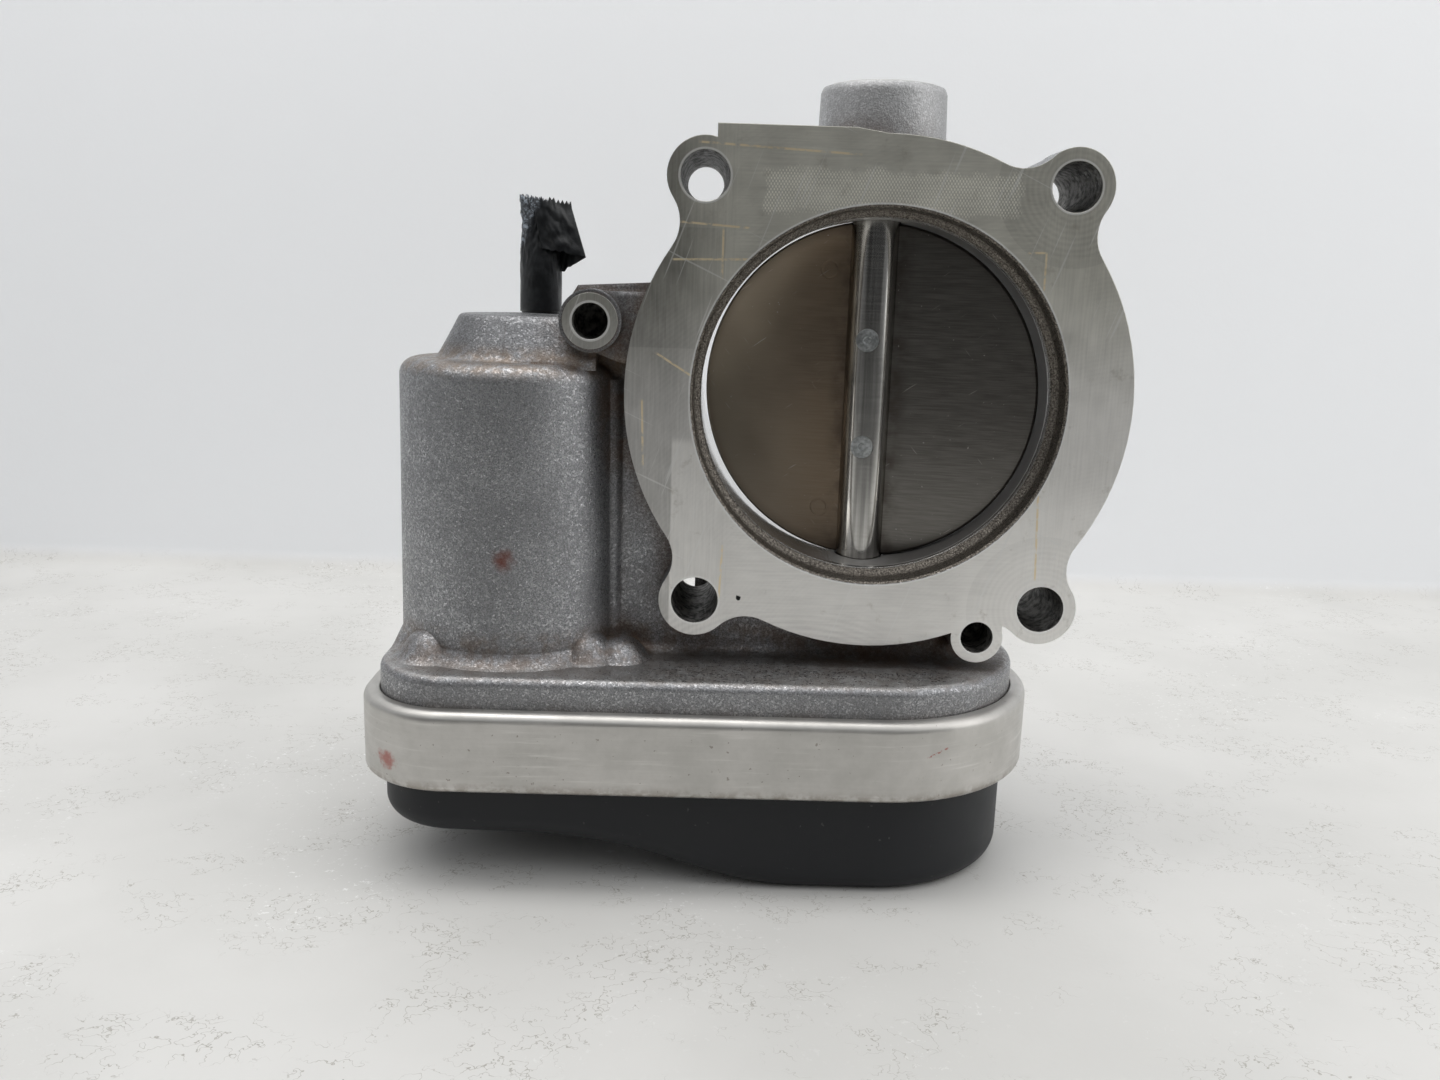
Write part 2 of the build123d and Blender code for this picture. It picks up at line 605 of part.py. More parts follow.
with BuildPart() as plate_screws:
    for z in (SCREW_Z, -SCREW_Z):
        # head on the far side, staked end just proud of the shaft on the near side
        with BuildSketch(REST_PLANE.offset(-SHAFT_R - 1)):
            with Locations((0, z)):
                Circle(SCREW_R)
        extrude(amount=2 * SHAFT_R + 1.2)
        with BuildSketch(REST_PLANE.offset(-SHAFT_R)):
            with Locations((0, z)):
                Circle(3.9)
        extrude(amount=-1.9)
        with BuildSketch(REST_PLANE.offset(-SHAFT_R - 1.9)):
            with Locations((0, z)):
                Circle(3.9)
        extrude(amount=-0.6, taper=50)
        with BuildSketch(REST_PLANE.offset(-SHAFT_R - 2.6)):
            with Locations((0, z)):
                Rectangle(1.0, 9)
        extrude(amount=1.4, mode=Mode.SUBTRACT)
        # the staked end is dimpled by the punch
        with BuildSketch(REST_PLANE.offset(SHAFT_R + 0.2)):
            with Locations((0, z)):
                Circle(0.9)
        extrude(amount=-0.25, taper=40, mode=Mode.SUBTRACT)
save(plate_screws, "plate_screws")

# ---------------------------------------------------------------- bearings, seals and end plug
NEEDLE_COUNT = 14
CUP_SHEET = 0.95
CUP_GAP = 0.03


def needle_bearing(low, high, first):
    """Drawn cup with needle rollers, the first one at a given angle; the cup is turned in at both ends."""
    inner = BEARING_R - CUP_SHEET
    lip_r = SHAFT_R + 0.3
    with BuildPart() as cup:
        add(turned(0, SHAFT_Y, [
            (lip_r, low), (BEARING_R, low), (BEARING_R, high), (lip_r, high), (lip_r, high - 0.8),
            (inner, high - 0.8), (inner, low + 0.8), (lip_r, low + 0.8),
        ]))
        needle_ring = (SHAFT_R + inner) / 2
        needle_r = (inner - SHAFT_R) / 2 - CUP_GAP
        for step in range(NEEDLE_COUNT):
            x, y = polar(needle_ring, step * 360 / NEEDLE_COUNT + first)
            add(tube(x, y, 0, needle_r, low + 0.9, high - 0.9))
    return cup


save(needle_bearing(UPPER_BEARING_LOW_Z, UPPER_BEARING_TOP_Z, 0), "upper_bearing")
save(needle_bearing(LOWER_BEARING_LOW_Z, LOWER_BEARING_TOP_Z, 9), "lower_bearing")

with BuildPart() as shaft_seals:
    for side in (1, -1):
        low, high = side * (SEAL_OUT_Z + 0.1), side * (UPPER_BEARING_LOW_Z - 0.1)
        add(turned(0, SHAFT_Y, [
            (SHAFT_R + RUNNING_GAP, low + side * 0.4), (SHAFT_R + 0.8, low), (BEARING_R, low),
            (BEARING_R, high), (BEARING_R - 0.7, high), (BEARING_R - 0.7, low + side * 1.4),
            (SHAFT_R + 0.5, low + side * 1.6), (SHAFT_R + RUNNING_GAP, low + side * 1.1),
        ]))
save(shaft_seals, "shaft_seals")

with BuildPart() as end_plug:
    add(turned(0, SHAFT_Y, [
        (0, PLUG_LOW_Z + 0.1), (PLUG_R, PLUG_LOW_Z + 0.1), (PLUG_R, TOP_BOSS_Z - 0.6),
        (PLUG_R - 1.1, TOP_BOSS_Z - 0.6), (PLUG_R - 1.4, PLUG_LOW_Z + 1.2), (3, PLUG_LOW_Z + 1.3),
        (0, PLUG_LOW_Z + 1.4),
    ]))
save(end_plug, "end_plug")

# ---------------------------------------------------------------- spring
with BuildPart() as spring_sleeve:
    add(turned(0, SHAFT_Y, [
        (SNOUT_R, TRAY_ROOF_Z - 0.02), (12.6, TRAY_ROOF_Z - 0.02), (12.6, TRAY_ROOF_Z - 1.1),
        (SNOUT_R + 1.1, TRAY_ROOF_Z - 1.1), (SNOUT_R + 1.1, -71.6), (SHAFT_R + 0.6, -71.6),
        (SHAFT_R + 0.6, -70.6), (SNOUT_R, SNOUT_LOW_Z - 0.1),
    ]))
    add(tube(*polar(SPRING_R, FIXED_LEG_ANGLE), 0, WIRE_R + 0.15, -62, -58), mode=Mode.SUBTRACT)
save(spring_sleeve, "spring_sleeve")

# the coil rises from the free leg, which reaches into the sector's curved slot, to the leg in the roof
COIL_START_ANGLE = FREE_LEG_ANGLE - 8
SPRING_TURNS = 4 + (FIXED_LEG_ANGLE + 360 - COIL_START_ANGLE) / 360
FREE_LEG_R = 13.7
FREE_LEG_LOW_Z = -75.6
FREE_LEG_Z = SPRING_LOW_Z + 0.2
LEG_R = 0.97 * WIRE_R
free_knee = polar(FREE_LEG_R, FREE_LEG_ANGLE)
fixed_foot = polar(SPRING_R, FIXED_LEG_ANGLE)
outward = (cos(radians(FREE_LEG_ANGLE)), sin(radians(FREE_LEG_ANGLE)), 0)
coil_start = (cos(radians(COIL_START_ANGLE)), sin(radians(COIL_START_ANGLE)), 0)
with BuildLine(Plane(origin=(0, SHAFT_Y, SPRING_LOW_Z), x_dir=coil_start, z_dir=(0, 0, 1))) as coil:
    Helix(
        pitch=(SPRING_TOP_Z - SPRING_LOW_Z) / SPRING_TURNS,
        height=SPRING_TOP_Z - SPRING_LOW_Z,
        radius=SPRING_R,
    )
coil_wire = coil.line.edges()[0]
with BuildPart() as return_spring:
    with BuildSketch(Plane(origin=coil_wire @ 0, z_dir=coil_wire % 0)):
        Circle(WIRE_R)
    sweep(path=coil.line)
    with Locations((*free_knee, FREE_LEG_Z), (*fixed_foot, SPRING_TOP_Z)):
        Sphere(WIRE_R + 0.12)
    with BuildSketch(Plane(origin=(*polar(SPRING_R - 0.5, FREE_LEG_ANGLE), FREE_LEG_Z), z_dir=outward)):
        Circle(LEG_R)
    extrude(amount=FREE_LEG_R - SPRING_R + 0.5)
    add(tube(*free_knee, 0, WIRE_R, FREE_LEG_LOW_Z, FREE_LEG_Z))
    add(tube(*fixed_foot, 0, WIRE_R, SPRING_TOP_Z, -56.6))
save(return_spring, "return_spring")

# ---------------------------------------------------------------- gears
SECTOR_TOP_Z = -72.8
SECTOR_LOW_Z = -80.0
SECTOR_WEB_TOP_Z = -73.6
SECTOR_WEB_LOW_Z = -77.0
SECTOR_START = 150.0
SECTOR_END = 278.0
SLOT_HALF = WIRE_R + 0.35
WHEEL_TOP_Z = -64.6
WHEEL_LOW_Z = -70.6
SMALL_LOW_Z = -81.0
PINION_TOP_Z = -63.6
PINION_LOW_Z = -71.4


def arc_band(z, radius, half_width, start, end):
    """Curved slot outline about the throttle shaft, with round ends."""
    middle = (start + end) / 2
    with BuildSketch(Plane.XY.offset(z)) as band:
        with BuildLine():
            ThreePointArc(polar(radius - half_width, start), polar(radius - half_width, middle),
                          polar(radius - half_width, end))
            Line(polar(radius - half_width, end), polar(radius + half_width, end))
            ThreePointArc(polar(radius + half_width, end), polar(radius + half_width, middle),
                          polar(radius + half_width, start))
            Line(polar(radius + half_width, start), polar(radius - half_width, start))
        make_face()
        with Locations(polar(radius, start), polar(radius, end)):
            Circle(half_width)
    return band.sketch


with BuildPart() as sector_gear:
    # toothed part
    with BuildSketch(Plane.XY.offset(SECTOR_LOW_Z)):
        with BuildLine():
            Polyline(*shifted(gear_corners(SLOW_MODULE, SECTOR_TEETH, first=180), 0, SHAFT_Y), close=True)
        make_face()
        with BuildLine(mode=Mode.PRIVATE) as slice_line:
            Polyline(*pie(0, SHAFT_Y, 40, SECTOR_START, SECTOR_END), close=True)
        make_face(slice_line.line.edges(), mode=Mode.INTERSECT)
    extrude(amount=SECTOR_TOP_Z - SECTOR_LOW_Z)
    # web between rim and hub, recessed on both sides
    for low, high in ((SECTOR_LOW_Z, SECTOR_WEB_LOW_Z), (SECTOR_WEB_TOP_Z, SECTOR_TOP_Z)):
        add(tube(0, SHAFT_Y, 0, 21.5, low, high), mode=Mode.SUBTRACT)
    add(tube(0, SHAFT_Y, 0, 17.8, SECTOR_WEB_LOW_Z, SECTOR_WEB_TOP_Z))
    add(turned(0, SHAFT_Y, [(0, -88.4), (7.6, -88.4), (8.0, -88.0), (8.4, SECTOR_TOP_Z), (0, SECTOR_TOP_Z)]))
    for angle in (SECTOR_START + 10, (SECTOR_START + SECTOR_END) / 2, SECTOR_END - 10):
        with BuildSketch(Plane.XY.offset(SECTOR_LOW_Z)):
            with BuildLine():
                Polyline(polar(6, angle - 8), polar(22, angle - 2), polar(22, angle + 2), polar(6, angle + 8),
                         close=True)
            make_face()
        extrude(amount=SECTOR_WEB_LOW_Z - SECTOR_LOW_Z)
    # lug that meets the two stops
    with BuildSketch(Plane.XY.offset(SECTOR_WEB_TOP_Z)):
        with BuildLine():
            Polyline(
                polar(15.6, STOP_LUG_ANGLE - STOP_LUG_HALF), polar(17.7, STOP_LUG_ANGLE - STOP_LUG_HALF),
                polar(17.7, STOP_LUG_ANGLE + STOP_LUG_HALF), polar(15.6, STOP_LUG_ANGLE + STOP_LUG_HALF),
                close=True,
            )
        make_face()
    extrude(amount=4.2)
    # curved slot for the spring's free leg
    slot = arc_band(SECTOR_WEB_LOW_Z - 1, FREE_LEG_R, SLOT_HALF,
                    FREE_LEG_ANGLE - CLOSE_TRAVEL - 1, FREE_LEG_ANGLE + OPEN_TRAVEL + 1)
    extrude(slot, amount=SECTOR_WEB_TOP_Z - SECTOR_WEB_LOW_Z + 2, mode=Mode.SUBTRACT)
    # hole with flats for the shaft, and the pocket for the sensor's magnet
    with BuildSketch(Plane.XY.offset(SHAFT_LOW_Z)):
        with Locations((0, SHAFT_Y)):
            Circle(SHAFT_R)
            Rectangle(20, 2 * FLAT_HALF, mode=Mode.INTERSECT)
    extrude(amount=FLAT_TOP_Z - SHAFT_LOW_Z, mode=Mode.SUBTRACT)
    add(tube(0, SHAFT_Y, 0, SHAFT_R, FLAT_TOP_Z, SECTOR_TOP_Z + 1), mode=Mode.SUBTRACT)
    add(tube(0, SHAFT_Y, 0, 6.0, -89, -84.4), mode=Mode.SUBTRACT)
save(sector_gear, "sector_gear")

with BuildPart() as sensor_magnet:
    add(tube(0, SHAFT_Y, 2.0, 6.0, -87.9, -84.4))
save(sensor_magnet, "sensor_magnet")

with BuildPart() as intermediate_gear:
    with BuildSketch(Plane.XY.offset(WHEEL_LOW_Z)):
        with BuildLine():
            Polyline(*shifted(gear_corners(FAST_MODULE, WHEEL_TEETH, first=180, shift=-PINION_SHIFT),
                              IDLER_X, SHAFT_Y), close=True)
        make_face()
    extrude(amount=WHEEL_TOP_Z - WHEEL_LOW_Z)
    # light web with holes
    add(tube(IDLER_X, SHAFT_Y, 8.0, 22.5, WHEEL_TOP_Z - 1.6, WHEEL_TOP_Z + 1), mode=Mode.SUBTRACT)
    add(tube(IDLER_X, SHAFT_Y, 18.6, 22.5, WHEEL_LOW_Z - 1, WHEEL_LOW_Z + 1.6), mode=Mode.SUBTRACT)
    with BuildSketch(Plane.XY.offset(SMALL_LOW_Z)):
        with BuildLine():
            corners = gear_corners(SLOW_MODULE, SMALL_TEETH, first=180 / SMALL_TEETH)
            Polyline(*shifted(corners, IDLER_X, SHAFT_Y), close=True)
        make_face()
    extrude(amount=WHEEL_LOW_Z - SMALL_LOW_Z)
    add(tube(IDLER_X, SHAFT_Y, 6.5, 12.0, SMALL_LOW_Z - 1, SMALL_LOW_Z + 4), mode=Mode.SUBTRACT)
    add(tube(IDLER_X, SHAFT_Y, 0, PIN_R + RUNNING_GAP, SMALL_LOW_Z - 1, WHEEL_TOP_Z + 1), mode=Mode.SUBTRACT)
save(intermediate_gear, "intermediate_gear")

with BuildPart() as intermediate_pin:
    add(turned(IDLER_X, SHAFT_Y, [
        (0, -84.6), (PIN_R - 0.4, -84.6), (PIN_R, -84.2), (PIN_R, PIN_TOP_Z - 0.5),
        (PIN_R - 0.4, PIN_TOP_Z - 0.1), (0, PIN_TOP_Z - 0.1),
    ]))
save(intermediate_pin, "intermediate_pin")

# ---------------------------------------------------------------- motor
MOTOR_SHAFT_R = 1.6
CAN_TOP_Z = -1.6
CAN_SHEET = 1.2
NUB_R = 6.6
NUB_TOP_Z = 4.6
END_PLATE_LOW_Z = -60.4
BUSH_R = 4.0

with BuildPart() as motor_can:
    add(turned(MOTOR_X, SHAFT_Y, [
        (MOTOR_CAN_R - CAN_SHEET, TRAY_ROOF_Z), (MOTOR_CAN_R, TRAY_ROOF_Z), (MOTOR_CAN_R, CAN_TOP_Z - 1.5),
        (MOTOR_CAN_R - 1.5, CAN_TOP_Z), (NUB_R, CAN_TOP_Z), (NUB_R, NUB_TOP_Z), (0, NUB_TOP_Z),
        (0, NUB_TOP_Z - 1), (BUSH_R, NUB_TOP_Z - 1), (BUSH_R, CAN_TOP_Z - CAN_SHEET),
        (MOTOR_CAN_R - 2.2, CAN_TOP_Z - CAN_SHEET), (MOTOR_CAN_R - CAN_SHEET, CAN_TOP_Z - 2.2),
    ]))
save(motor_can, "motor_can")

with BuildPart() as motor_end_plate:
    with BuildSketch(Plane.XY.offset(END_PLATE_LOW_Z)) as plate_outline:
        with Locations((MOTOR_X, SHAFT_Y)):
            Circle(19.4)
        with Locations(*[polar(SCREW_RING_R, angle, MOTOR_X) for angle in SCREW_ANGLES]):
            Circle(4.0)
        fillet(plate_outline.vertices(), 1.5)
        with Locations(*[polar(SCREW_RING_R, angle, MOTOR_X) for angle in SCREW_ANGLES]):
            Circle(1.7, mode=Mode.SUBTRACT)
    extrude(amount=TRAY_ROOF_Z - END_PLATE_LOW_Z)
    add(tube(MOTOR_X, SHAFT_Y, 0, 6.2, -62.6, END_PLATE_LOW_Z))
    add(tube(MOTOR_X, SHAFT_Y, 0, BUSH_R, -63, TRAY_ROOF_Z + 1), mode=Mode.SUBTRACT)
save(motor_end_plate, "motor_end_plate")

with BuildPart() as motor_bushes:
    for low, high in ((-62.6, -58.3), (-2.7, 2.4)):
        add(tube(MOTOR_X, SHAFT_Y, MOTOR_SHAFT_R + RUNNING_GAP, BUSH_R, low, high))
save(motor_bushes, "motor_bushes")

with BuildPart() as motor_magnets:
    for middle in (0, 180):
        with BuildSketch(Plane.XY.offset(-46)):
            with Locations((MOTOR_X, SHAFT_Y)):
                Circle(MOTOR_CAN_R - CAN_SHEET)
                Circle(13.6, mode=Mode.SUBTRACT)
            with BuildLine(mode=Mode.PRIVATE) as slice_line:
                Polyline(*pie(MOTOR_X, SHAFT_Y, 30, middle - 66, middle + 66), close=True)
            make_face(slice_line.line.edges(), mode=Mode.INTERSECT)
        extrude(amount=34)
save(motor_magnets, "motor_magnets")

POLES = 5
with BuildPart() as motor_armature:
    # laminated core with slots, windings at both ends, and the commutator
    with BuildSketch(Plane.XY.offset(-44)):
        with Locations((MOTOR_X, SHAFT_Y)):
            Circle(13.0)
        for pole in range(POLES):
            with Locations(polar(11.4, pole * 360 / POLES, MOTOR_X)):
                Rectangle(4.5, 1.6, rotation=pole * 360 / POLES, mode=Mode.SUBTRACT)
            with Locations(polar(8.4, pole * 360 / POLES, MOTOR_X)):
                Circle(1.9, mode=Mode.SUBTRACT)
    extrude(amount=30)
    add(turned(MOTOR_X, SHAFT_Y, [(0, -47), (8, -47), (10.5, -44), (0, -44)]))
    add(turned(MOTOR_X, SHAFT_Y, [(0, -14), (10.5, -14), (8, -11), (0, -11)]))
    add(tube(MOTOR_X, SHAFT_Y, 0, 4.4, -55.5, -47))
    add(tube(MOTOR_X, SHAFT_Y, 0, MOTOR_SHAFT_R, -56, -10), mode=Mode.SUBTRACT)
save(motor_armature, "motor_armature")

with BuildPart() as motor_brushes:
    for side in (1, -1):
        with BuildSketch(Plane.XY.offset(-54)):
            with Locations((MOTOR_X, SHAFT_Y + side * 8.2)):
                Rectangle(3.4, 7.4)
        extrude(amount=4)
save(motor_brushes, "motor_brushes")

with BuildPart() as motor_shaft:
    add(turned(MOTOR_X, SHAFT_Y, [
        (0, PINION_LOW_Z - 0.8), (MOTOR_SHAFT_R - 0.3, PINION_LOW_Z - 0.8),
        (MOTOR_SHAFT_R, PINION_LOW_Z - 0.5), (MOTOR_SHAFT_R, 2.6), (MOTOR_SHAFT_R - 0.3, 2.9), (0, 2.9),
    ]))
save(motor_shaft, "motor_shaft")

with BuildPart() as motor_pinion:
    with BuildSketch(Plane.XY.offset(PINION_LOW_Z)):
        with BuildLine():
            corners = gear_corners(FAST_MODULE, PINION_TEETH, first=180 / PINION_TEETH, shift=PINION_SHIFT)
            Polyline(*shifted(corners, MOTOR_X, SHAFT_Y), close=True)
        make_face()
    extrude(amount=PINION_TOP_Z - PINION_LOW_Z)
    add(tube(MOTOR_X, SHAFT_Y, 0, MOTOR_SHAFT_R, PINION_LOW_Z - 1, PINION_TOP_Z + 1), mode=Mode.SUBTRACT)
save(motor_pinion, "motor_pinion")

with BuildPart() as motor_screws:
    for angle in SCREW_ANGLES:
        x, y = polar(SCREW_RING_R, angle, MOTOR_X)
        add(turned(x, y, [
            (0, END_PLATE_LOW_Z - 1.1), (0.9, END_PLATE_LOW_Z - 1.1), (0.9, END_PLATE_LOW_Z - 2.2),
            (2.6, END_PLATE_LOW_Z - 2.0), (3.0, END_PLATE_LOW_Z - 1.2), (3.0, END_PLATE_LOW_Z),
            (1.5, END_PLATE_LOW_Z), (1.5, -51.4), (0.9, -50.6), (0, -50.6),
        ]))
save(motor_screws, "motor_screws")

with BuildPart() as motor_spring_washer:
    # dished washer that loads the motor can downwards
    add(turned(MOTOR_X, SHAFT_Y, [
        (8.2, -0.3), (8.2, 0.38), (8.6, 0.38), (13.4, CAN_TOP_Z + 0.62), (13.4, CAN_TOP_Z + 0.02),
        (13.0, CAN_TOP_Z + 0.02),
    ]))
save(motor_spring_washer, "motor_spring_washer")

# ---------------------------------------------------------------- gear cover, moulded plastic
COVER_EDGE_R = 4.2
SOCKET_X, SOCKET_Y = -72.4, 39.6     # deep pocket under the terminal block, the cover's second foot
SOCKET_LONG, SOCKET_WIDE = 27.0, 17.6


def cover_side(drop, inset):
    """Side profile of the cover: shallow over the motor, deep under the throttle shaft."""
    shallow = COVER_SHALLOW_Z + drop
    deep = COVER_DEEP_Z + drop
    with BuildSketch(depth(-30)) as side:
        with BuildLine():
            Line((-110, -60), (-110, shallow))
            Line((-110, shallow), (-70, shallow - 0.6))
            Spline((-70, shallow - 0.6), (-42, shallow - 4.6 - inset * 0.1), (-13, deep),
                   tangents=[(1, -0.02), (1, 0)])
            Line((-13, deep), (60, deep))
            Line((60, deep), (60, -60))
            Line((60, -60), (-110, -60))
        make_face()
    return side.sketch


with BuildPart() as gear_cover:
    extrude(cover_side(0, 0), amount=-100)
    add(tray_slab(COVER_DEEP_Z - 1, JOINT_Z - 0.02, COVER_IN), mode=Mode.INTERSECT)
    low_edges = gear_cover.faces().filter_by(lambda f: f.normal_at().Z < -0.5).edges()
    fillet(low_edges.filter_by(lambda e: e.center().Z < COVER_SHALLOW_Z + 1), COVER_EDGE_R)
    # deep pocket under the terminal block
    with BuildSketch(Plane.XY.offset(COVER_SHALLOW_Z + 5)):
        with Locations((SOCKET_X, SOCKET_Y)):
            RectangleRounded(SOCKET_LONG, SOCKET_WIDE, 4)
    extrude(amount=COVER_DEEP_Z - COVER_SHALLOW_Z - 5, taper=3)
    foot_edges = gear_cover.edges().filter_by(lambda e: abs(e.center().Z - COVER_DEEP_Z) < 0.01)
    fillet(foot_edges.filter_by(lambda e: e.center().X < SOCKET_X + SOCKET_LONG / 2), 1.5)
    # rim that the band grips
    add(tray_slab(LIP_LOW_Z, JOINT_Z - 0.02, LIP_OUT))
    # hollow inside
    with BuildPart(mode=Mode.PRIVATE) as hollow:
        extrude(cover_side(COVER_WALL, 1), amount=-100)
        add(tray_slab(COVER_DEEP_Z - 1, JOINT_Z + 1, COVER_IN - COVER_WALL), mode=Mode.INTERSECT)
    add(hollow.part, mode=Mode.SUBTRACT)
    with BuildSketch(Plane.XY.offset(COVER_DEEP_Z + COVER_WALL)):
        with Locations((SOCKET_X, SOCKET_Y)):
            RectangleRounded(SOCKET_LONG - 2 * COVER_WALL - 1, SOCKET_WIDE - 2 * COVER_WALL - 1, 2)
    extrude(amount=COVER_SHALLOW_Z - COVER_DEEP_Z + 1, mode=Mode.SUBTRACT)
    # socket for the free end of the intermediate pin
    add(tube(IDLER_X, SHAFT_Y, 0, 5.6, -93, -82.6))
    add(tube(IDLER_X, SHAFT_Y, 0, PIN_R + 0.05, -84.8, -82), mode=Mode.SUBTRACT)
    # posts that carry the sensor board
    for x, y in ((-8.5, 8.5), (-8.5, 28.5), (14.5, 8.5), (14.5, 28.5)):
        add(tube(x, y, 0, 2.2, COVER_DEEP_Z + 1, -92.2))
    # groove for the gasket
    add(tray_ring(GASKET_LOW_Z, JOINT_Z + 1, GASKET_IN - 0.05, GASKET_OUT + 0.05), mode=Mode.SUBTRACT)
save(gear_cover, "gear_cover")

# ---------------------------------------------------------------- gasket and crimped band
with BuildPart() as cover_gasket:
    add(tray_ring(GASKET_LOW_Z, JOINT_Z, GASKET_IN, GASKET_OUT))
    fillet(cover_gasket.faces().sort_by(Axis.Z)[-1].edges(), 0.5)
save(cover_gasket, "cover_gasket")

with BuildPart() as crimp_band:
    add(tray_ring(BAND_LOW_Z, BAND_TOP_Z, BAND_GAP, BAND_OUT))
    fillet(crimp_band.faces().sort_by(Axis.Z)[-1].outer_wire().edges(), BAND_TOP_EDGE_R)
    fillet(crimp_band.faces().sort_by(Axis.Z)[-1].inner_wires().edges(), 0.4)
    fillet(crimp_band.faces().sort_by(Axis.Z)[0].outer_wire().edges(), BAND_LOW_EDGE_R)
    add(tray_ring(LIP_LOW_Z - 0.03, LIP_TOP_Z + 0.03, 0, BAND_OUT - BAND_SHEET), mode=Mode.SUBTRACT)
save(crimp_band, "crimp_band")

# ---------------------------------------------------------------- position sensor
BOARD_Z = -91.0
BOARD_TAIL_X = -14.0         # narrow tail of the board that meets the contact strips
with BuildPart() as sensor_board:
    with BuildSketch(Plane.XY.offset(-92.2)):
        with Locations((3, SHAFT_Y)):
            RectangleRounded(30, 26, 2)
        with Locations((BOARD_TAIL_X + 5.5, 36)):
            Rectangle(11, 20)
    extrude(amount=1.2)
save(sensor_board, "sensor_board")

with BuildPart() as sensor_chips:
    # field sensor under the magnet, and its small companions
    for x, y, long, wide, tall in ((0, 18.5, 6, 5, 1.4), (10, 12, 3.2, 1.6, 1.2), (10, 16, 3.2, 1.6, 1.2),
                                   (10, 25, 4.9, 3.9, 1.5), (-6, 26, 2, 1.2, 1.0)):
        with BuildSketch(Plane.XY.offset(BOARD_Z)):
            with Locations((x, y)):
                Rectangle(long, wide)
        extrude(amount=tall)
save(sensor_chips, "sensor_chips")

# ---------------------------------------------------------------- harness behind the motor housing
WIRE_COUNT = 6
LEAD_R = 0.75
LEAD_RING_R = 1.85
CABLE_TOP_Z = 38.2
SLEEVE_INNER_R = 2.8
SLEEVE_LOW_Z = -56.5
BLOCK_LOW_Z = -84.8
BLOCK_TOP_Z = -66.0
LEAD_LOW_Z = -68.6
BLOCK_DY = -3.1              # the block stands in from the cable's axis, clear of the cover's wall
LEADS = [polar(LEAD_RING_R, step * 360 / WIRE_COUNT + 30, CABLE_X, CABLE_Y) for step in range(WIRE_COUNT)]

with BuildPart() as lead_wires:
    for x, y in LEADS:
        add(tube(x, y, 0, LEAD_R, LEAD_LOW_Z, CABLE_TOP_Z - 1.5))
save(lead_wires, "lead_wires")

with BuildPart() as terminal_block:
    with BuildSketch(Plane.XY.offset(BLOCK_LOW_Z)):
        with Locations((CABLE_X, CABLE_Y + BLOCK_DY)):
            RectangleRounded(13, 9.6, 1)
    extrude(amount=BLOCK_TOP_Z - BLOCK_LOW_Z)
    for x, y in LEADS:
        add(tube(x, y, 0, LEAD_R + 0.05, LEAD_LOW_Z - 0.1, BLOCK_TOP_Z + 1), mode=Mode.SUBTRACT)
save(terminal_block, "terminal_block")

with BuildPart() as contact_strips:
    # brass strips along the cover's floor, from the terminal block towards the sensor board
    for step in range(4):
        y = CABLE_Y + BLOCK_DY - 3.6 + step * 2.0
        with BuildSketch(Plane.XZ.offset(-y)):
            with BuildLine():
                Polyline(
                    (CABLE_X + 6.52, -84.0), (-58, -84.0), (BOARD_TAIL_X - 0.02, BOARD_Z),
                    (BOARD_TAIL_X - 0.02, BOARD_Z - 0.8), (-58, -84.8), (CABLE_X + 6.52, -84.8), close=True,
                )
            make_face()
        extrude(amount=1.2)
save(contact_strips, "contact_strips")

with BuildPart() as motor_leads:
    # two blades from the motor's end plate to the side of the terminal block
    block_side = CABLE_Y + BLOCK_DY - 4.8 - 0.02
    for step in (-1, 1):
        with BuildSketch(Plane.YZ.offset(CABLE_X + 3.4 * step - 0.4)):
            with BuildLine():
                Polyline(
                    (30, END_PLATE_LOW_Z - 0.02), (33.4, END_PLATE_LOW_Z - 0.02), (33.4, -68.8),
                    (block_side, -68.8), (block_side, -69.8), (32.4, -69.8), (32.4, -61.2), (30, -61.2),
                    close=True,
                )
            make_face()
        extrude(amount=0.8)
save(motor_leads, "motor_leads")

with BuildPart() as harness_grommet:
    add(turned(CABLE_X, CABLE_Y, [
        (CABLE_R + 0.05, -55.8), (5.6, -55.8), (6.0, -55.0), (6.0, OUTLET_TOP_Z + 1.6),
        (5.4, OUTLET_TOP_Z + 3.2), (CABLE_R + 0.05, OUTLET_TOP_Z + 3.8),
    ]))
save(harness_grommet, "harness_grommet")

with BuildPart() as cable_sleeve:
    add(tube(CABLE_X, CABLE_Y, SLEEVE_INNER_R, CABLE_R, SLEEVE_LOW_Z, CABLE_TOP_Z - 1))
save(cable_sleeve, "cable_sleeve")

TAPE_LOW_Z = 14.0
TAPE_R = 5.2
with BuildPart() as tape_wrap:
    # tape wound over the cable's cut end
    add(turned(CABLE_X, CABLE_Y, [
        (CABLE_R + 0.02, TAPE_LOW_Z), (TAPE_R - 0.3, TAPE_LOW_Z), (TAPE_R, 22), (TAPE_R, CABLE_TOP_Z - 0.8),
        (TAPE_R - 1.0, CABLE_TOP_Z), (0, CABLE_TOP_Z + 0.4), (0, CABLE_TOP_Z - 0.9),
        (CABLE_R + 0.02, CABLE_TOP_Z - 0.9),
    ]))
save(tape_wrap, "tape_wrap")

with BuildPart() as tape_flap:
    # loose end of the tape, stuck to itself and standing off to the right
    with BuildSketch(depth(CABLE_Y - 1.4)):
        with BuildLine():
            Polyline(
                (CABLE_X + TAPE_R + 0.1, 37.4), (CABLE_X + 7.4, 37.9), (CABLE_X + 8.4, 33),
                (CABLE_X + 10.6, 27.2), (CABLE_X + 7.4, 23.6), (CABLE_X + TAPE_R + 0.1, 21.6), close=True,
            )
        make_face()
    extrude(amount=-1.4)
save(tape_flap, "tape_flap")
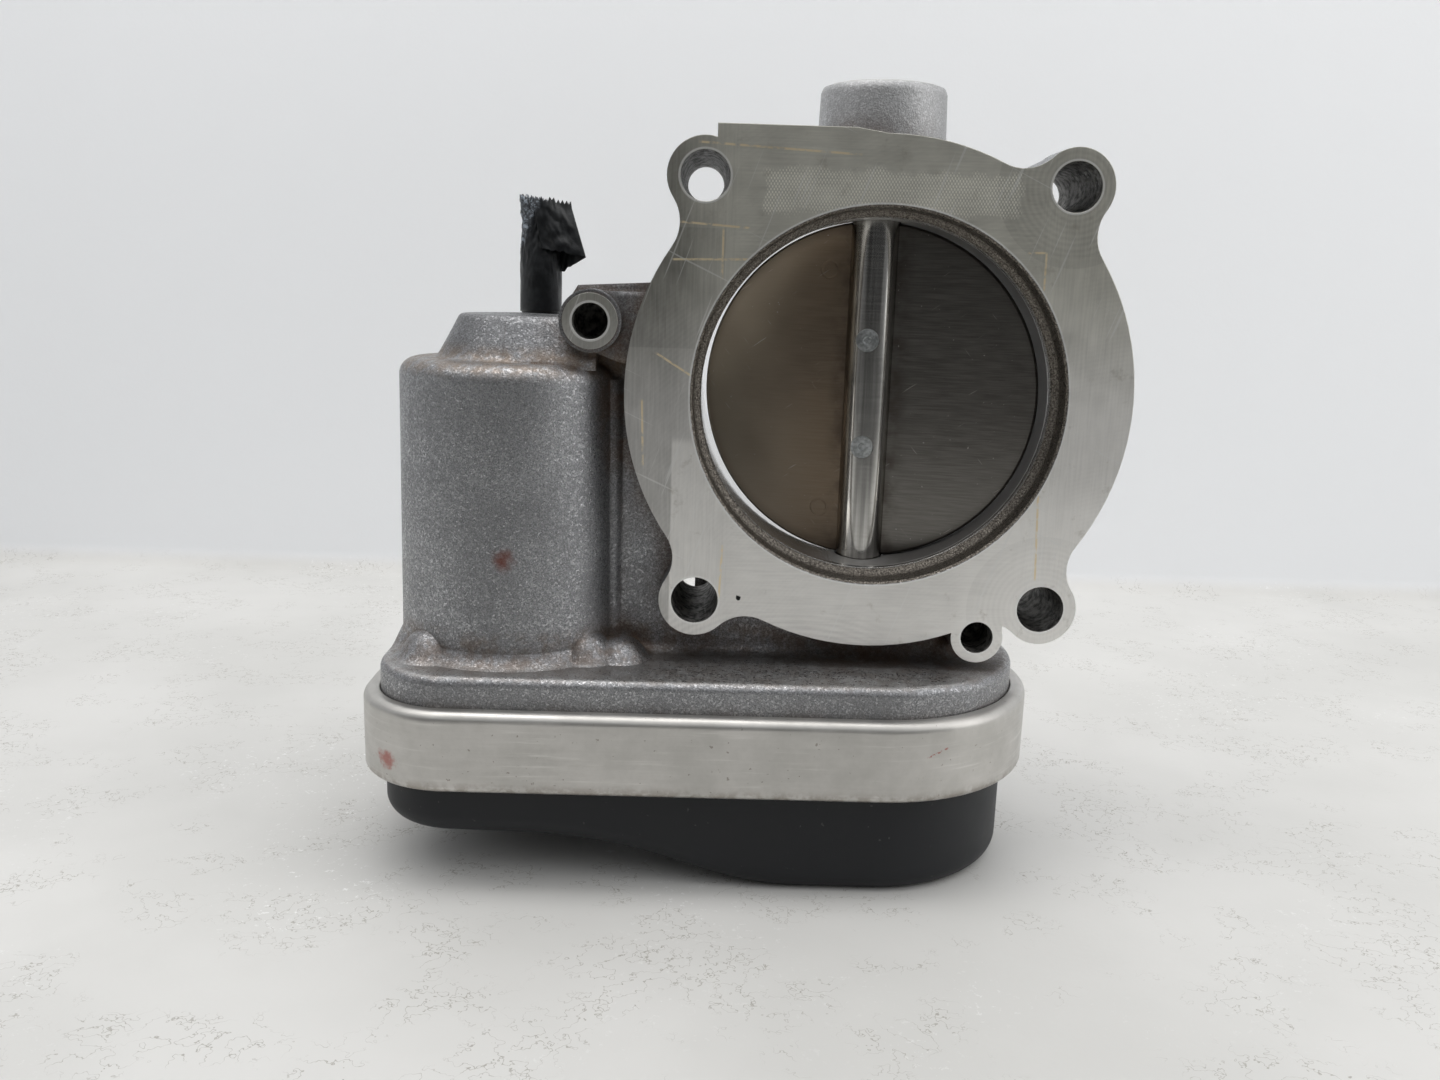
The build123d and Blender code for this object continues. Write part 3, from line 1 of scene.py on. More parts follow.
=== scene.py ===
import json
from math import cos, hypot, pi, radians, sin

import bmesh
import bpy
from mathutils import Matrix, Vector, noise


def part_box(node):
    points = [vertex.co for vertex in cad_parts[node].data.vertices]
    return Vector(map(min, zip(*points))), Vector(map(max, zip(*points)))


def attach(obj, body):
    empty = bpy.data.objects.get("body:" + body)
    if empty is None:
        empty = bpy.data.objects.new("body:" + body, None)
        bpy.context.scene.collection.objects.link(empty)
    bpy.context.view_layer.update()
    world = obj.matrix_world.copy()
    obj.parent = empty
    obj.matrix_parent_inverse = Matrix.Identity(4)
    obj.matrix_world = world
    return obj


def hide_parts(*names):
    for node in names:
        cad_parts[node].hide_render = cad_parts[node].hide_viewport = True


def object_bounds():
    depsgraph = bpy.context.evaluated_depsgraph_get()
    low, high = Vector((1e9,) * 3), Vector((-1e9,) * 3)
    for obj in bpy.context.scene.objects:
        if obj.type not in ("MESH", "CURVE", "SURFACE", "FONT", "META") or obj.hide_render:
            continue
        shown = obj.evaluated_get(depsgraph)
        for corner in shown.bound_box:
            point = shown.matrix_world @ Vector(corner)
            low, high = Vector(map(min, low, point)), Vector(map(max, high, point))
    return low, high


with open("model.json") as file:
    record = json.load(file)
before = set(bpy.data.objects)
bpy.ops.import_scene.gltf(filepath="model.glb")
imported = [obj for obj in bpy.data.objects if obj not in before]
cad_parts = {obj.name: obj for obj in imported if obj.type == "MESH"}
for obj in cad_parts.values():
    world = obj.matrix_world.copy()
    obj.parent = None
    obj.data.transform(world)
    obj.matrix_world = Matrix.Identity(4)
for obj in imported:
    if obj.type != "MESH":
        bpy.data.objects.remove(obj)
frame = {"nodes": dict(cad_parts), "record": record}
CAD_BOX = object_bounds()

# Looks of the electronic throttle body. Lengths are in metres; lengths in the shaders are in millimetres.
MM = 0.001

# ---------------------------------------------------------------- places taken from the frame
sleeve_low, sleeve_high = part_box("cable_sleeve")
tape_low, tape_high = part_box("tape_wrap")
flap_low, flap_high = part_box("tape_flap")
CABLE = Vector(((sleeve_low.x + sleeve_high.x) / 2, (sleeve_low.y + sleeve_high.y) / 2, 0))
CABLE_R = (sleeve_high.x - sleeve_low.x) / 2
CABLE_X, CABLE_Y = CABLE.x / MM, CABLE.y / MM
FLOOR_Z = CAD_BOX[0].z

# ---------------------------------------------------------------- places on the casting, in millimetres
BORE_R = 35.0
MOUTH_R = 37.5                       # stepped mouth of the bore
MOUTH_DEPTH = 5.7
BORE_END_Y = 49.5
SPIGOT_END_Y = 61.8
TOP_BOSS_Z = 60.5
HOLE_X, HOLE_Z = 35.2, 41.4          # bolt holes
HOLE_R = 4.9
SEAT_Y = 26.0                        # bolt seats at the rear of the columns
SIDE_BOSS = (-56.8, 13.7)
SIDE_HOLE_R = 3.5
LOW_LUG = (22.7, -47.7)
LOW_HOLE_R = 3.3
BLIND_END_Y = 13.2                   # drill points of the side boss and the lug
TRAY_TOP_Z = -55.4
SHOULDER_Z = 5.5                     # motor housing's shoulder, under its cone


# ---------------------------------------------------------------- shader graphs
class Nodes:
    """Short names for the nodes of one shader tree."""

    def __init__(self, tree):
        self.tree = tree
        tree.nodes.clear()

    def node(self, kind, inputs=None, **settings):
        made = self.tree.nodes.new(kind)
        for key, value in settings.items():
            setattr(made, key, value)
        for key, value in (inputs or {}).items():
            self.feed(made.inputs[key], value)
        return made

    def feed(self, socket, value):
        if isinstance(value, bpy.types.NodeSocket):
            self.tree.links.new(value, socket)
        elif isinstance(value, tuple) and len(value) == 3 and len(socket.default_value) == 4:
            socket.default_value = (*value, 1)
        else:
            socket.default_value = value

    def parts(self, vector):
        return self.node("ShaderNodeSeparateXYZ", {0: vector}).outputs[:3]

    def vector_math(self, operation, vector, other):
        return self.node("ShaderNodeVectorMath", {0: vector, 1: other}, operation=operation).outputs[0]

    def scaled(self, vector, factor):
        """Vector or colour times a value."""
        return self.node("ShaderNodeVectorMath", {0: vector, "Scale": factor}, operation="SCALE").outputs[0]

    def math(self, operation, a, b=0.0, clamp=False):
        return self.node("ShaderNodeMath", {0: a, 1: b}, operation=operation, use_clamp=clamp).outputs[0]

    def add(self, *values):
        result = values[0]
        for value in values[1:]:
            result = self.math("ADD", result, value)
        return result

    def minus(self, a, b):
        return self.math("SUBTRACT", a, b)

    def times(self, *values):
        result = values[0]
        for value in values[1:]:
            result = self.math("MULTIPLY", result, value)
        return result

    def most(self, *values):
        result = values[0]
        for value in values[1:]:
            result = self.math("MAXIMUM", result, value)
        return result

    def magnitude(self, value):
        """The value without its sign."""
        return self.math("ABSOLUTE", value)

    def wave(self, value, length):
        """Sine wave of that length along the value."""
        return self.math("SINE", self.times(value, 2 * pi / length))

    def without(self, share):
        return self.math("SUBTRACT", 1.0, share, clamp=True)

    def step(self, value, start, end):
        """0 where value is at start, 1 where it is at end, smooth between."""
        inputs = {0: value, 1: start, 2: end, 3: 0.0, 4: 1.0}
        return self.node("ShaderNodeMapRange", inputs, interpolation_type="SMOOTHSTEP").outputs[0]

    def between(self, value, low, high, soft=0.05):
        """1 from low to high, 0 outside."""
        above = self.step(value, low - soft, low + soft)
        below = self.step(value, high + soft, high - soft)
        return self.times(above, below)

    def mix(self, share, a, b):
        """Colour between a and b."""
        made = self.node("ShaderNodeMix", data_type="RGBA")
        for socket, value in ((0, share), (6, a), (7, b)):
            self.feed(made.inputs[socket], value)
        return made.outputs[2]

    def blend(self, share, a, b):
        """Value between a and b."""
        made = self.node("ShaderNodeMix", data_type="FLOAT")
        for socket, value in ((0, share), (2, a), (3, b)):
            self.feed(made.inputs[socket], value)
        return made.outputs[0]


class Graph(Nodes):
    """A material's nodes. Places and lengths in them are in millimetres, in the piece's own frame."""

    def __init__(self, name):
        self.material = bpy.data.materials.new(name)
        self.material.use_nodes = True
        super().__init__(self.material.node_tree)
        coordinates = self.node("ShaderNodeTexCoord")
        self.place = self.scaled(coordinates.outputs["Object"], 1 / MM)
        self.x, self.y, self.z = self.parts(self.place)
        self.nx, self.ny, self.nz = self.parts(coordinates.outputs["Normal"])

    def stretched(self, factors):
        """The place with each axis multiplied, for grain that runs along one direction."""
        return self.vector_math("MULTIPLY", self.place, factors)

    def distance(self, a, a0, b, b0):
        da = self.minus(a, a0)
        db = self.minus(b, b0)
        return self.math("SQRT", self.add(self.times(da, da), self.times(db, db)))

    def reach(self, x, z):
        """Distance from the line through (x, z) that runs along the bore's direction."""
        return self.distance(self.x, x, self.z, z)

    def line(self, start, end, half, soft=0.08):
        """Mask of a thin straight line in the XZ plane."""
        dx, dz = end[0] - start[0], end[1] - start[1]
        length = hypot(dx, dz)
        ux, uz = dx / length, dz / length
        px = self.minus(self.x, start[0])
        pz = self.minus(self.z, start[1])
        along = self.add(self.times(px, ux), self.times(pz, uz))
        across = self.magnitude(self.add(self.times(px, -uz), self.times(pz, ux)))
        return self.times(self.step(across, half + soft, half), self.between(along, 0, length, 0.4))

    def noise(self, size, detail=2.0, roughness=0.5, vector=None, shift=0.0):
        """Noise from 0 to 1 whose features are about size millimetres."""
        place = self.place if vector is None else vector
        if shift:
            place = self.vector_math("ADD", place, (shift, shift, shift))
        inputs = {"Vector": place, "Scale": 1 / size, "Detail": detail, "Roughness": roughness}
        return self.node("ShaderNodeTexNoise", inputs).outputs[0]

    def cells(self, size):
        """A random value from 0 to 1 for each cell."""
        cell = self.node("ShaderNodeTexVoronoi", {"Vector": self.place, "Scale": 1 / size})
        return self.parts(cell.outputs["Color"])[0]

    def scratches(self, size, angle, threshold=0.62, shift=0.0):
        """Sparse thin scratches that run roughly along one direction in the XZ plane."""
        inputs = {"Vector": self.place, "Angle": radians(angle)}
        turned = self.node("ShaderNodeVectorRotate", inputs, rotation_type="Y_AXIS").outputs[0]
        fine = self.noise(size, 1.0, 0.4, self.vector_math("MULTIPLY", turned, (0.06, 0.3, 2.2)), shift)
        return self.step(fine, threshold, threshold + 0.05)

    def hollows(self, reach):
        """1 deep in corners and crevices, 0 in the open."""
        inputs = {"Distance": reach * MM}
        made = self.node("ShaderNodeAmbientOcclusion", inputs, samples=4, only_local=True)
        return self.without(made.outputs["AO"])

    def soft_edges(self, radius):
        """Normal that rounds every edge by radius millimetres."""
        return self.node("ShaderNodeBevel", {"Radius": self.times(radius, MM)}, samples=4).outputs[0]

    def bump(self, height, depth, normal=None):
        """Normal with bumps of that height in millimetres."""
        inputs = {"Height": height, "Distance": depth * MM, "Strength": 1.0}
        if normal is not None:
            inputs["Normal"] = normal
        return self.node("ShaderNodeBump", inputs).outputs[0]

    def finish(self, colour, roughness, metallic, normal, shine=0.5):
        inputs = {"Base Color": colour, "Roughness": roughness, "Metallic": metallic, "Normal": normal,
                  "Specular IOR Level": shine}
        shader = self.node("ShaderNodeBsdfPrincipled", inputs)
        self.node("ShaderNodeOutputMaterial", {"Surface": shader.outputs[0]})
        return self.material


# ---------------------------------------------------------------- cast housing
def cast_skin(g, grain, sparkle, hollow, smudge, lit_boss_top):
    """Colour of the raw casting: bright and dark grains, slow patches, brown grime with painted shade in the
    hollows, and painted light and shade on the cone, top boss and tray ledge.
    """
    patches = g.noise(16.0, 3.0, 0.6, shift=3.0)
    level = g.add(g.times(g.step(grain, 0.30, 0.72), 0.62), g.times(g.step(sparkle, 0.6, 1.0), 0.38))
    level = g.times(level, g.blend(g.step(patches, 0.3, 0.72), 0.66, 1.10))
    cast = g.mix(level, (0.180, 0.183, 0.190), (0.58, 0.585, 0.60))

    # painted shade on the cone over the motor, a painted highlight on the top boss and painted light on the
    # ledge of the tray
    cone = g.times(g.step(g.z, SHOULDER_Z, SHOULDER_Z + 2.5), g.step(g.x, -45, -55))
    cast = g.scaled(cast, g.blend(cone, 1.0, 0.66))
    # painted highlight: the top boss lighter
    cast = g.mix(g.times(lit_boss_top, 0.30), cast, (0.86, 0.855, 0.845))
    # painted light on the upward faces of the tray's ledge
    ledge = g.times(g.step(g.nz, 0.7, 0.95), g.between(g.z, TRAY_TOP_Z - 1.1, TRAY_TOP_Z + 3.4, 0.5))
    cast = g.mix(g.times(ledge, 0.30), cast, (0.72, 0.70, 0.68))

    # grime with painted shade: in every hollow, in the valley under the cone, and at the foot; grime in dark
    # blotches on the motor housing, with one red-brown smudge on the motor housing
    wet = g.times(g.step(g.noise(6.0, 4.0, 0.7, shift=11.0), 0.38, 0.62), hollow)
    # painted shade with brown grime in every hollow
    cast = g.mix(g.times(hollow, 0.62), cast, (0.10, 0.082, 0.066))
    cast = g.mix(g.times(wet, 0.55), cast, (0.17, 0.098, 0.055))
    stained_side = g.times(g.between(g.x, -68, -53, 4.0), g.between(g.z, -32, 2, 6.0))
    blotches = g.step(g.noise(3.2, 4.0, 0.75, shift=23.0), 0.66, 0.74)
    blotches = g.times(blotches, g.blend(stained_side, 0.45, 1.0))
    cast = g.mix(g.times(blotches, 0.62), cast, (0.085, 0.070, 0.052))
    # painted shade with brown grime in the valley under the cone
    valley = g.times(g.between(g.z, SHOULDER_Z - 2.7, SHOULDER_Z + 1.9, 1.6), g.step(g.x, -46, -52))
    valley = g.times(valley, g.step(g.noise(3.0, 3.0, 0.7, shift=5.0), 0.3, 0.62))
    cast = g.mix(g.times(valley, 0.55), cast, (0.21, 0.145, 0.09))
    # painted shade with brown grime at the foot of the housing, where it meets the tray
    foot = g.between(g.z, TRAY_TOP_Z, TRAY_TOP_Z + 6.9, 1.6)
    foot = g.times(foot, g.step(g.noise(3.6, 3.0, 0.7, shift=9.0), 0.36, 0.64))
    cast = g.mix(g.times(foot, 0.50), cast, (0.15, 0.10, 0.065))
    cast = g.mix(g.times(smudge, 0.75), cast, (0.20, 0.055, 0.032))

    # light scuffs: a group high on the motor housing, few elsewhere
    group = g.times(g.step(g.y, 8.0, 4.0), g.step(g.reach(-85.0, -19.0), 9.0, 3.0))
    scuffs = g.times(g.scratches(0.9, 38, 0.70), group)
    rare = g.times(g.scratches(0.8, -52, 0.77, 3.0), g.step(g.noise(12.0, 2.0, 0.5, shift=27.0), 0.5, 0.7))
    return g.mix(g.times(g.most(scuffs, rare), 0.55), cast, (0.72, 0.72, 0.72))


def cutter_marks(g, hole):
    """Three patterns of the milled face: feed arcs, rings around the right holes, a cross-hatched patch."""
    feed = g.wave(g.reach(70.0, -120.0), 0.9)
    feed = g.times(feed, g.step(g.noise(14.0, 2.0, 0.5, shift=2.0), 0.35, 0.65))
    ear = g.times(g.wave(hole, 1.1), g.step(hole, 15.0, 12.0), g.step(g.x, 0, 25))
    ragged = g.times(g.minus(g.noise(2.6, 3.0, 0.6, shift=17.0), 0.5), 5.0)
    across = g.between(g.add(g.x, ragged), -24.0, 24.5, 0.7)
    patch = g.times(across, g.between(g.add(g.z, ragged), 35.4, 43.0, 0.8))
    hatch = g.times(g.wave(g.x, 0.62), g.wave(g.z, 1.0))
    hatch = g.times(g.step(hatch, -0.1, 0.5), patch)
    return feed, ear, hatch


def face_tone(g, hole, upper, feed, ear, hatch):
    """Lightness of the milled face, from one tool pass to the next, with painted shade on its left part and
    painted light at its lower right.
    """
    column = g.times(g.step(g.x, -40.6, -40.2), g.step(g.z, -8, -10))
    pass_left = g.times(g.between(g.x, -50, -31, 0.1), g.between(g.z, 9.0, 31.8, 0.1))
    pass_right = g.times(g.between(g.x, 30.6, 60, 0.1), g.between(g.z, -33, 28.6, 0.1))
    clouds = g.minus(g.noise(7.0, 4.0, 0.6, shift=41.0), 0.5)
    down = g.noise(0.45, 2.0, 0.5, g.stretched((1.0, 1.0, 0.05)))
    across = g.noise(0.45, 2.0, 0.5, g.stretched((0.05, 1.0, 1.0)))
    lay = g.blend(g.step(g.magnitude(g.x), 27, 31), across, down)
    swirl = g.times(g.wave(g.reach(-14.0, -88.0), 1.3), g.step(g.z, -42, -47), g.step(g.x, 6, -2))
    return g.add(
        g.blend(upper, 0.725, 0.60),
        # painted shade: the left part of the face darker, apart from the lower left column
        g.times(g.without(column), g.step(g.x, -30, -42), -0.20),
        # painted light: the lower right of the face lighter
        g.times(g.step(g.x, 12, 30), g.step(g.z, -12, -34), 0.13),
        g.times(pass_left, -0.045),
        g.times(pass_right, 0.02),
        g.times(g.step(hole, 15.2, 15.0), g.step(g.x, 0, 20), -0.05),
        g.times(clouds, 0.16),
        g.times(g.minus(lay, 0.5), 0.16),
        g.times(swirl, 0.03),
        g.times(feed, 0.008),
        g.times(ear, 0.02),
        g.times(hatch, 0.26),
    )


# thin yellow traces on the flange face: start and end of each
TRACES = (
    ((-46.5, -1.2), (-46.1, -14.0)),
    ((-39.8, 32.8), (-26.5, 32.0)),
    ((-31.5, 31.6), (-31.5, 22.5)),
    ((-29.9, -30.0), (-30.3, -41.6)),
    ((30.4, 29.0), (30.6, 10.0)),
    ((32.4, -10.0), (33.6, -35.2)),
    ((-36.4, 47.4), (-6.0, 46.0)),
    ((27.0, 29.0), (30.2, 29.1)),
    ((-43.9, 8.0), (-33.4, 1.6)),
    ((-41.0, 25.8), (-26.0, 26.2)),
)


def machined_face(g, bore, hole, boss, lug, marks):
    """Colour of the milled faces: grey metal, warmer towards the top, with traces, stains and painted
    highlights along the rims.
    """
    upper = g.step(g.z, -6, 30)
    tone = g.step(face_tone(g, hole, upper, *marks), 0.0, 1.0)
    face = g.mix(tone, (0.0, 0.0, 0.0), (1.0, 1.0, 0.99))
    face = g.vector_math("MULTIPLY", face, g.mix(upper, (1.0, 0.985, 0.96), (0.97, 0.955, 0.86)))
    traces = g.most(*[g.line(start, end, 0.17) for start, end in TRACES])
    traces = g.times(traces, g.step(g.noise(1.2, 2.0, 0.5, shift=3.0), 0.30, 0.55))
    face = g.mix(g.times(traces, 0.9), face, (0.90, 0.77, 0.53))
    stain = g.times(g.step(g.noise(5.0, 4.0, 0.7, shift=51.0), 0.60, 0.74), 0.35)
    face = g.mix(stain, face, (0.36, 0.33, 0.27))
    light_marks = g.most(g.scratches(1.5, 70, 0.70, 4.0), g.scratches(1.6, -25, 0.72, 9.0))
    face = g.mix(g.times(light_marks, 0.45), face, (0.86, 0.86, 0.84))
    nick = g.add(g.reach(-26.3, -40.7), g.times(g.noise(0.9, 2.0, 0.6), 1.1))
    face = g.mix(g.step(nick, 1.15, 0.95), face, (0.02, 0.02, 0.02))
    # painted highlights: bright rims round the holes, the side boss, the lug and the bore's mouth
    rims = g.most(
        g.between(hole, HOLE_R - 0.1, HOLE_R + 0.25, 0.08),
        g.between(boss, SIDE_HOLE_R, SIDE_HOLE_R + 0.45, 0.08),
        g.between(lug, LOW_HOLE_R, LOW_HOLE_R + 0.4, 0.08),
        g.between(bore, MOUTH_R - 0.6, MOUTH_R, 0.08),
    )
    return g.mix(g.times(rims, 0.7), face, (0.90, 0.90, 0.88))


def cast_aluminium():
    """The housing: sandy cast skin, with machined flange face, bosses and bore."""
    g = Graph("cast_aluminium")
    bore = g.reach(0.0, 0.0)
    hole = g.distance(g.magnitude(g.x), HOLE_X, g.magnitude(g.z), HOLE_Z)
    boss = g.reach(*SIDE_BOSS)
    lug = g.reach(*LOW_LUG)

    # masks of the machined surfaces
    front = g.times(g.between(g.y, -0.06, 0.06, 0.03), g.step(g.ny, -0.9, -0.97))
    in_bore = g.between(g.y, MOUTH_DEPTH, BORE_END_Y, 0.1)
    bore_wall = g.times(g.step(bore, BORE_R + 0.3, BORE_R + 0.1), in_bore)
    mouth = g.times(g.step(bore, MOUTH_R + 0.7, MOUTH_R - 0.1), g.between(g.y, 0.08, MOUTH_DEPTH, 0.05))
    bolt_hole = g.times(g.step(hole, HOLE_R + 0.05, HOLE_R - 0.05), g.step(g.y, SEAT_Y + 0.3, SEAT_Y + 0.1))
    side_hole = g.step(boss, SIDE_HOLE_R + 0.1, SIDE_HOLE_R)
    low_hole = g.step(lug, LOW_HOLE_R + 0.1, LOW_HOLE_R)
    blind_hole = g.times(g.most(side_hole, low_hole), g.step(g.y, BLIND_END_Y + 0.3, BLIND_END_Y + 0.1))
    in_hole = g.times(g.most(bolt_hole, blind_hole), g.step(g.y, 0.08, 0.2))
    near_seat = g.between(g.y, SEAT_Y - 1, SEAT_Y + 1)
    seat = g.times(g.step(hole, 7.9, 7.7), g.step(g.ny, 0.95, 0.99), near_seat)
    turned_ends = g.most(
        g.times(g.step(g.z, TOP_BOSS_Z - 0.1, TOP_BOSS_Z + 0.1), g.step(g.nz, 0.9, 0.97)),
        g.times(g.step(g.y, SPIGOT_END_Y - 0.1, SPIGOT_END_Y + 0.1), g.step(g.ny, 0.9, 0.97)),
    )
    machined = g.most(front, seat, turned_ends)

    # masks and textures of the raw casting
    grain = g.noise(0.30, 2.5, 0.65)
    coarse = g.noise(1.5, 2.0, 0.6, shift=7.0)
    sparkle = g.cells(0.38)
    # crevice mask from ambient occlusion, for painted shade with brown grime in the casting's hollows
    hollow = g.step(g.hollows(7.0), 0.10, 0.62)
    # top boss, lightened by a painted highlight and made rougher
    lit_boss_top = g.times(g.step(g.z, 47.0, 50.0), g.step(g.y, 3.0, 5.0))
    smudge = g.add(g.reach(-73.0, -33.0), g.times(g.noise(2.0, 3.0, 0.6, shift=31.0), 3.2))
    smudge = g.times(g.step(smudge, 4.6, 1.8), g.step(g.y, 10, 5))

    # colours: raw casting, sandy mouth, darker holes, polished bore with soot on its right side, milled faces
    marks = cutter_marks(g, hole)
    feed, ear, hatch = marks
    soot = g.times(g.step(g.x, -14, 10), g.step(g.y, MOUTH_DEPTH + 1.2, MOUTH_DEPTH + 2.2))
    polished = g.mix(g.step(g.noise(3.0, 3.0, 0.6), 0.4, 0.8), (0.74, 0.73, 0.71), (0.60, 0.58, 0.55))
    polished = g.mix(g.times(soot, 0.93), polished, (0.05, 0.046, 0.042))
    sandy = g.mix(g.step(grain, 0.35, 0.7), (0.060, 0.052, 0.045), (0.29, 0.265, 0.23))
    # darker inside the holes
    darker_in_holes = g.mix(g.step(coarse, 0.3, 0.7), (0.045, 0.042, 0.038), (0.36, 0.35, 0.33))
    colour = g.mix(mouth, cast_skin(g, grain, sparkle, hollow, smudge, lit_boss_top), sandy)
    colour = g.mix(in_hole, colour, darker_in_holes)
    colour = g.mix(bore_wall, colour, polished)
    colour = g.mix(machined, colour, machined_face(g, bore, hole, boss, lug, marks))

    rough = g.blend(g.step(sparkle, 0.35, 1.0), 0.50, 0.24)
    rough = g.blend(lit_boss_top, rough, 0.55)
    rough = g.blend(g.most(hollow, smudge), rough, 0.72)
    rough = g.blend(machined, rough, g.add(0.36, g.times(g.noise(5.0, 3.0, 0.6, shift=13.0), 0.14)))
    rough = g.blend(bore_wall, rough, 0.14)
    clean = g.without(g.times(soot, bore_wall))
    rough = g.blend(clean, 0.8, rough)

    # crisp edges where tools have cut, softer edges on the raw casting
    crisp = g.most(g.step(g.y, 1.6, 0.4), bore_wall, g.step(g.y, SPIGOT_END_Y - 1.8, SPIGOT_END_Y - 0.8))
    normal = g.soft_edges(g.blend(crisp, 1.5, 0.22))
    sand = g.add(g.times(grain, 0.6), g.times(coarse, 0.55))
    skin = g.times(g.without(g.most(machined, bore_wall)), sand)
    cut = g.add(g.times(feed, 0.008), g.add(g.times(hatch, 0.08), g.times(ear, 0.012)))
    normal = g.bump(g.add(skin, g.times(machined, cut)), 0.16, normal)
    return g.finish(colour, rough, g.times(clean, 0.92), normal)


# ---------------------------------------------------------------- other metals
def rolled_band():
    """Satin sheet with scuffs along its length, grime along the lower edge and two red smears."""
    g = Graph("band_aluminium")
    along = g.noise(1.3, 3.0, 0.6, g.stretched((0.07, 0.07, 1.6)))
    clouds = g.noise(9.0, 4.0, 0.65, shift=5.0)
    colour = g.mix(g.step(clouds, 0.25, 0.75), (0.50, 0.49, 0.465), (0.60, 0.585, 0.56))
    colour = g.mix(g.times(g.step(along, 0.58, 0.72), 0.4), colour, (0.71, 0.695, 0.67))
    low = g.times(g.step(g.z, -74.6, -77.2), g.step(g.noise(2.4, 3.0, 0.7, shift=3.0), 0.36, 0.62))
    colour = g.mix(g.times(low, 0.62), colour, (0.24, 0.20, 0.165))
    left_smear = g.add(g.reach(-95.0, -72.2), g.times(g.noise(1.4, 3.0, 0.6, shift=8.0), 3.4))
    right_smear = g.line((11.5, -67.9), (15.5, -66.3), 0.16)
    right_smear = g.times(right_smear, g.step(g.noise(0.8, 2.0, 0.5), 0.42, 0.55))
    smears = g.times(g.most(g.step(left_smear, 4.1, 2.4), right_smear), g.step(g.y, 8, 2))
    colour = g.mix(g.times(smears, 0.7), colour, (0.36, 0.075, 0.055))
    specks = g.step(g.noise(1.0, 2.0, 0.5, shift=21.0), 0.71, 0.76)
    colour = g.mix(g.times(specks, 0.6), colour, (0.20, 0.17, 0.14))
    rough = g.blend(g.step(along, 0.35, 0.7), 0.46, 0.36)
    normal = g.bump(g.add(g.times(along, 0.4), g.times(clouds, 0.5)), 0.08, g.soft_edges(0.35))
    return g.finish(colour, rough, 0.95, normal)


def plate_steel():
    """Plate brushed crosswise, stained brown on its left half, with fine scratches and pits; painted light
    makes its plain steel lighter towards the bottom.
    """
    g = Graph("plate_steel")
    brushed = g.noise(0.22, 2.0, 0.5, g.stretched((0.04, 0.04, 1.0)))
    steel = g.mix(g.step(brushed, 0.25, 0.75), (0.17, 0.161, 0.146), (0.225, 0.214, 0.197))
    # painted light: the plain steel lighter towards the bottom, darker towards the top
    steel = g.scaled(steel, g.blend(g.step(g.z, 2.0, -26.0), 0.85, 1.25))
    brown = g.mix(g.step(g.x, -30.0, -6.0), (0.40, 0.345, 0.27), (0.27, 0.20, 0.135))
    cloudy = g.step(g.noise(26.0, 2.0, 0.45, shift=4.0), 0.35, 0.65)
    brown = g.mix(g.times(cloudy, 0.45), brown, (0.15, 0.115, 0.085))
    brown = g.mix(g.times(g.step(brushed, 0.3, 0.7), 0.15), brown, (0.4, 0.34, 0.27))
    left = g.step(g.x, 2.0, -5.0)
    colour = g.mix(g.times(left, 0.85), steel, brown)

    # grime beside the shaft, and darker towards the rim
    by_shaft = g.times(g.step(g.magnitude(g.x), 9.0, 4.8), g.step(g.noise(5.0, 3.0, 0.6), 0.3, 0.7))
    colour = g.mix(g.times(by_shaft, 0.6), colour, (0.06, 0.045, 0.035))
    rim = g.step(g.reach(0.0, 0.0), BORE_R - 3.0, BORE_R - 0.2)
    colour = g.mix(g.times(rim, 0.45), colour, (0.05, 0.04, 0.033))

    scratched = g.most(g.scratches(0.55, 35, 0.745, 1.0), g.scratches(0.6, -50, 0.76, 6.0))
    pits = g.step(g.noise(0.55, 1.0, 0.4, shift=19.0), 0.775, 0.80)
    marks = g.times(g.most(scratched, pits), g.step(g.noise(9.0, 2.0, 0.5, shift=33.0), 0.40, 0.60))
    colour = g.mix(g.times(marks, 0.6), colour, (0.75, 0.72, 0.67))
    rough = g.add(g.blend(g.step(brushed, 0.3, 0.7), 0.30, 0.38), g.times(left, 0.05))
    return g.finish(colour, rough, 1.0, g.bump(g.times(brushed, 0.3), 0.02, g.soft_edges(0.2)))


def polished_steel():
    """Ground shaft with painted highlight streaks along it, painted shade on its two sides, and grime with
    painted shade where the plate enters its slot.
    """
    g = Graph("polished_steel")
    rings = g.noise(0.5, 2.0, 0.5, g.stretched((0.06, 0.06, 1.2)))
    # painted highlights: lighter streaks running along the shaft
    highlight_streaks = g.noise(0.9, 2.0, 0.5, g.stretched((1.0, 1.0, 0.03)))
    colour = g.mix(g.step(highlight_streaks, 0.35, 0.7), (0.42, 0.41, 0.39), (0.66, 0.65, 0.62))
    # painted shade: the shaft's two sides darker
    edge = g.step(g.magnitude(g.x), 3.9, 4.7)
    colour = g.mix(g.times(edge, 0.7), colour, (0.11, 0.085, 0.06))
    # grime with painted shade in the crevices where the plate enters its slot
    dirt = g.times(g.step(g.hollows(2.0), 0.35, 0.8), g.step(g.noise(1.6, 3.0, 0.6), 0.3, 0.6))
    colour = g.mix(dirt, colour, (0.05, 0.035, 0.025))
    rough = g.blend(g.step(rings, 0.3, 0.7), 0.14, 0.20)
    return g.finish(colour, rough, 1.0, g.bump(g.times(rings, 0.3), 0.008, g.soft_edges(0.15)))


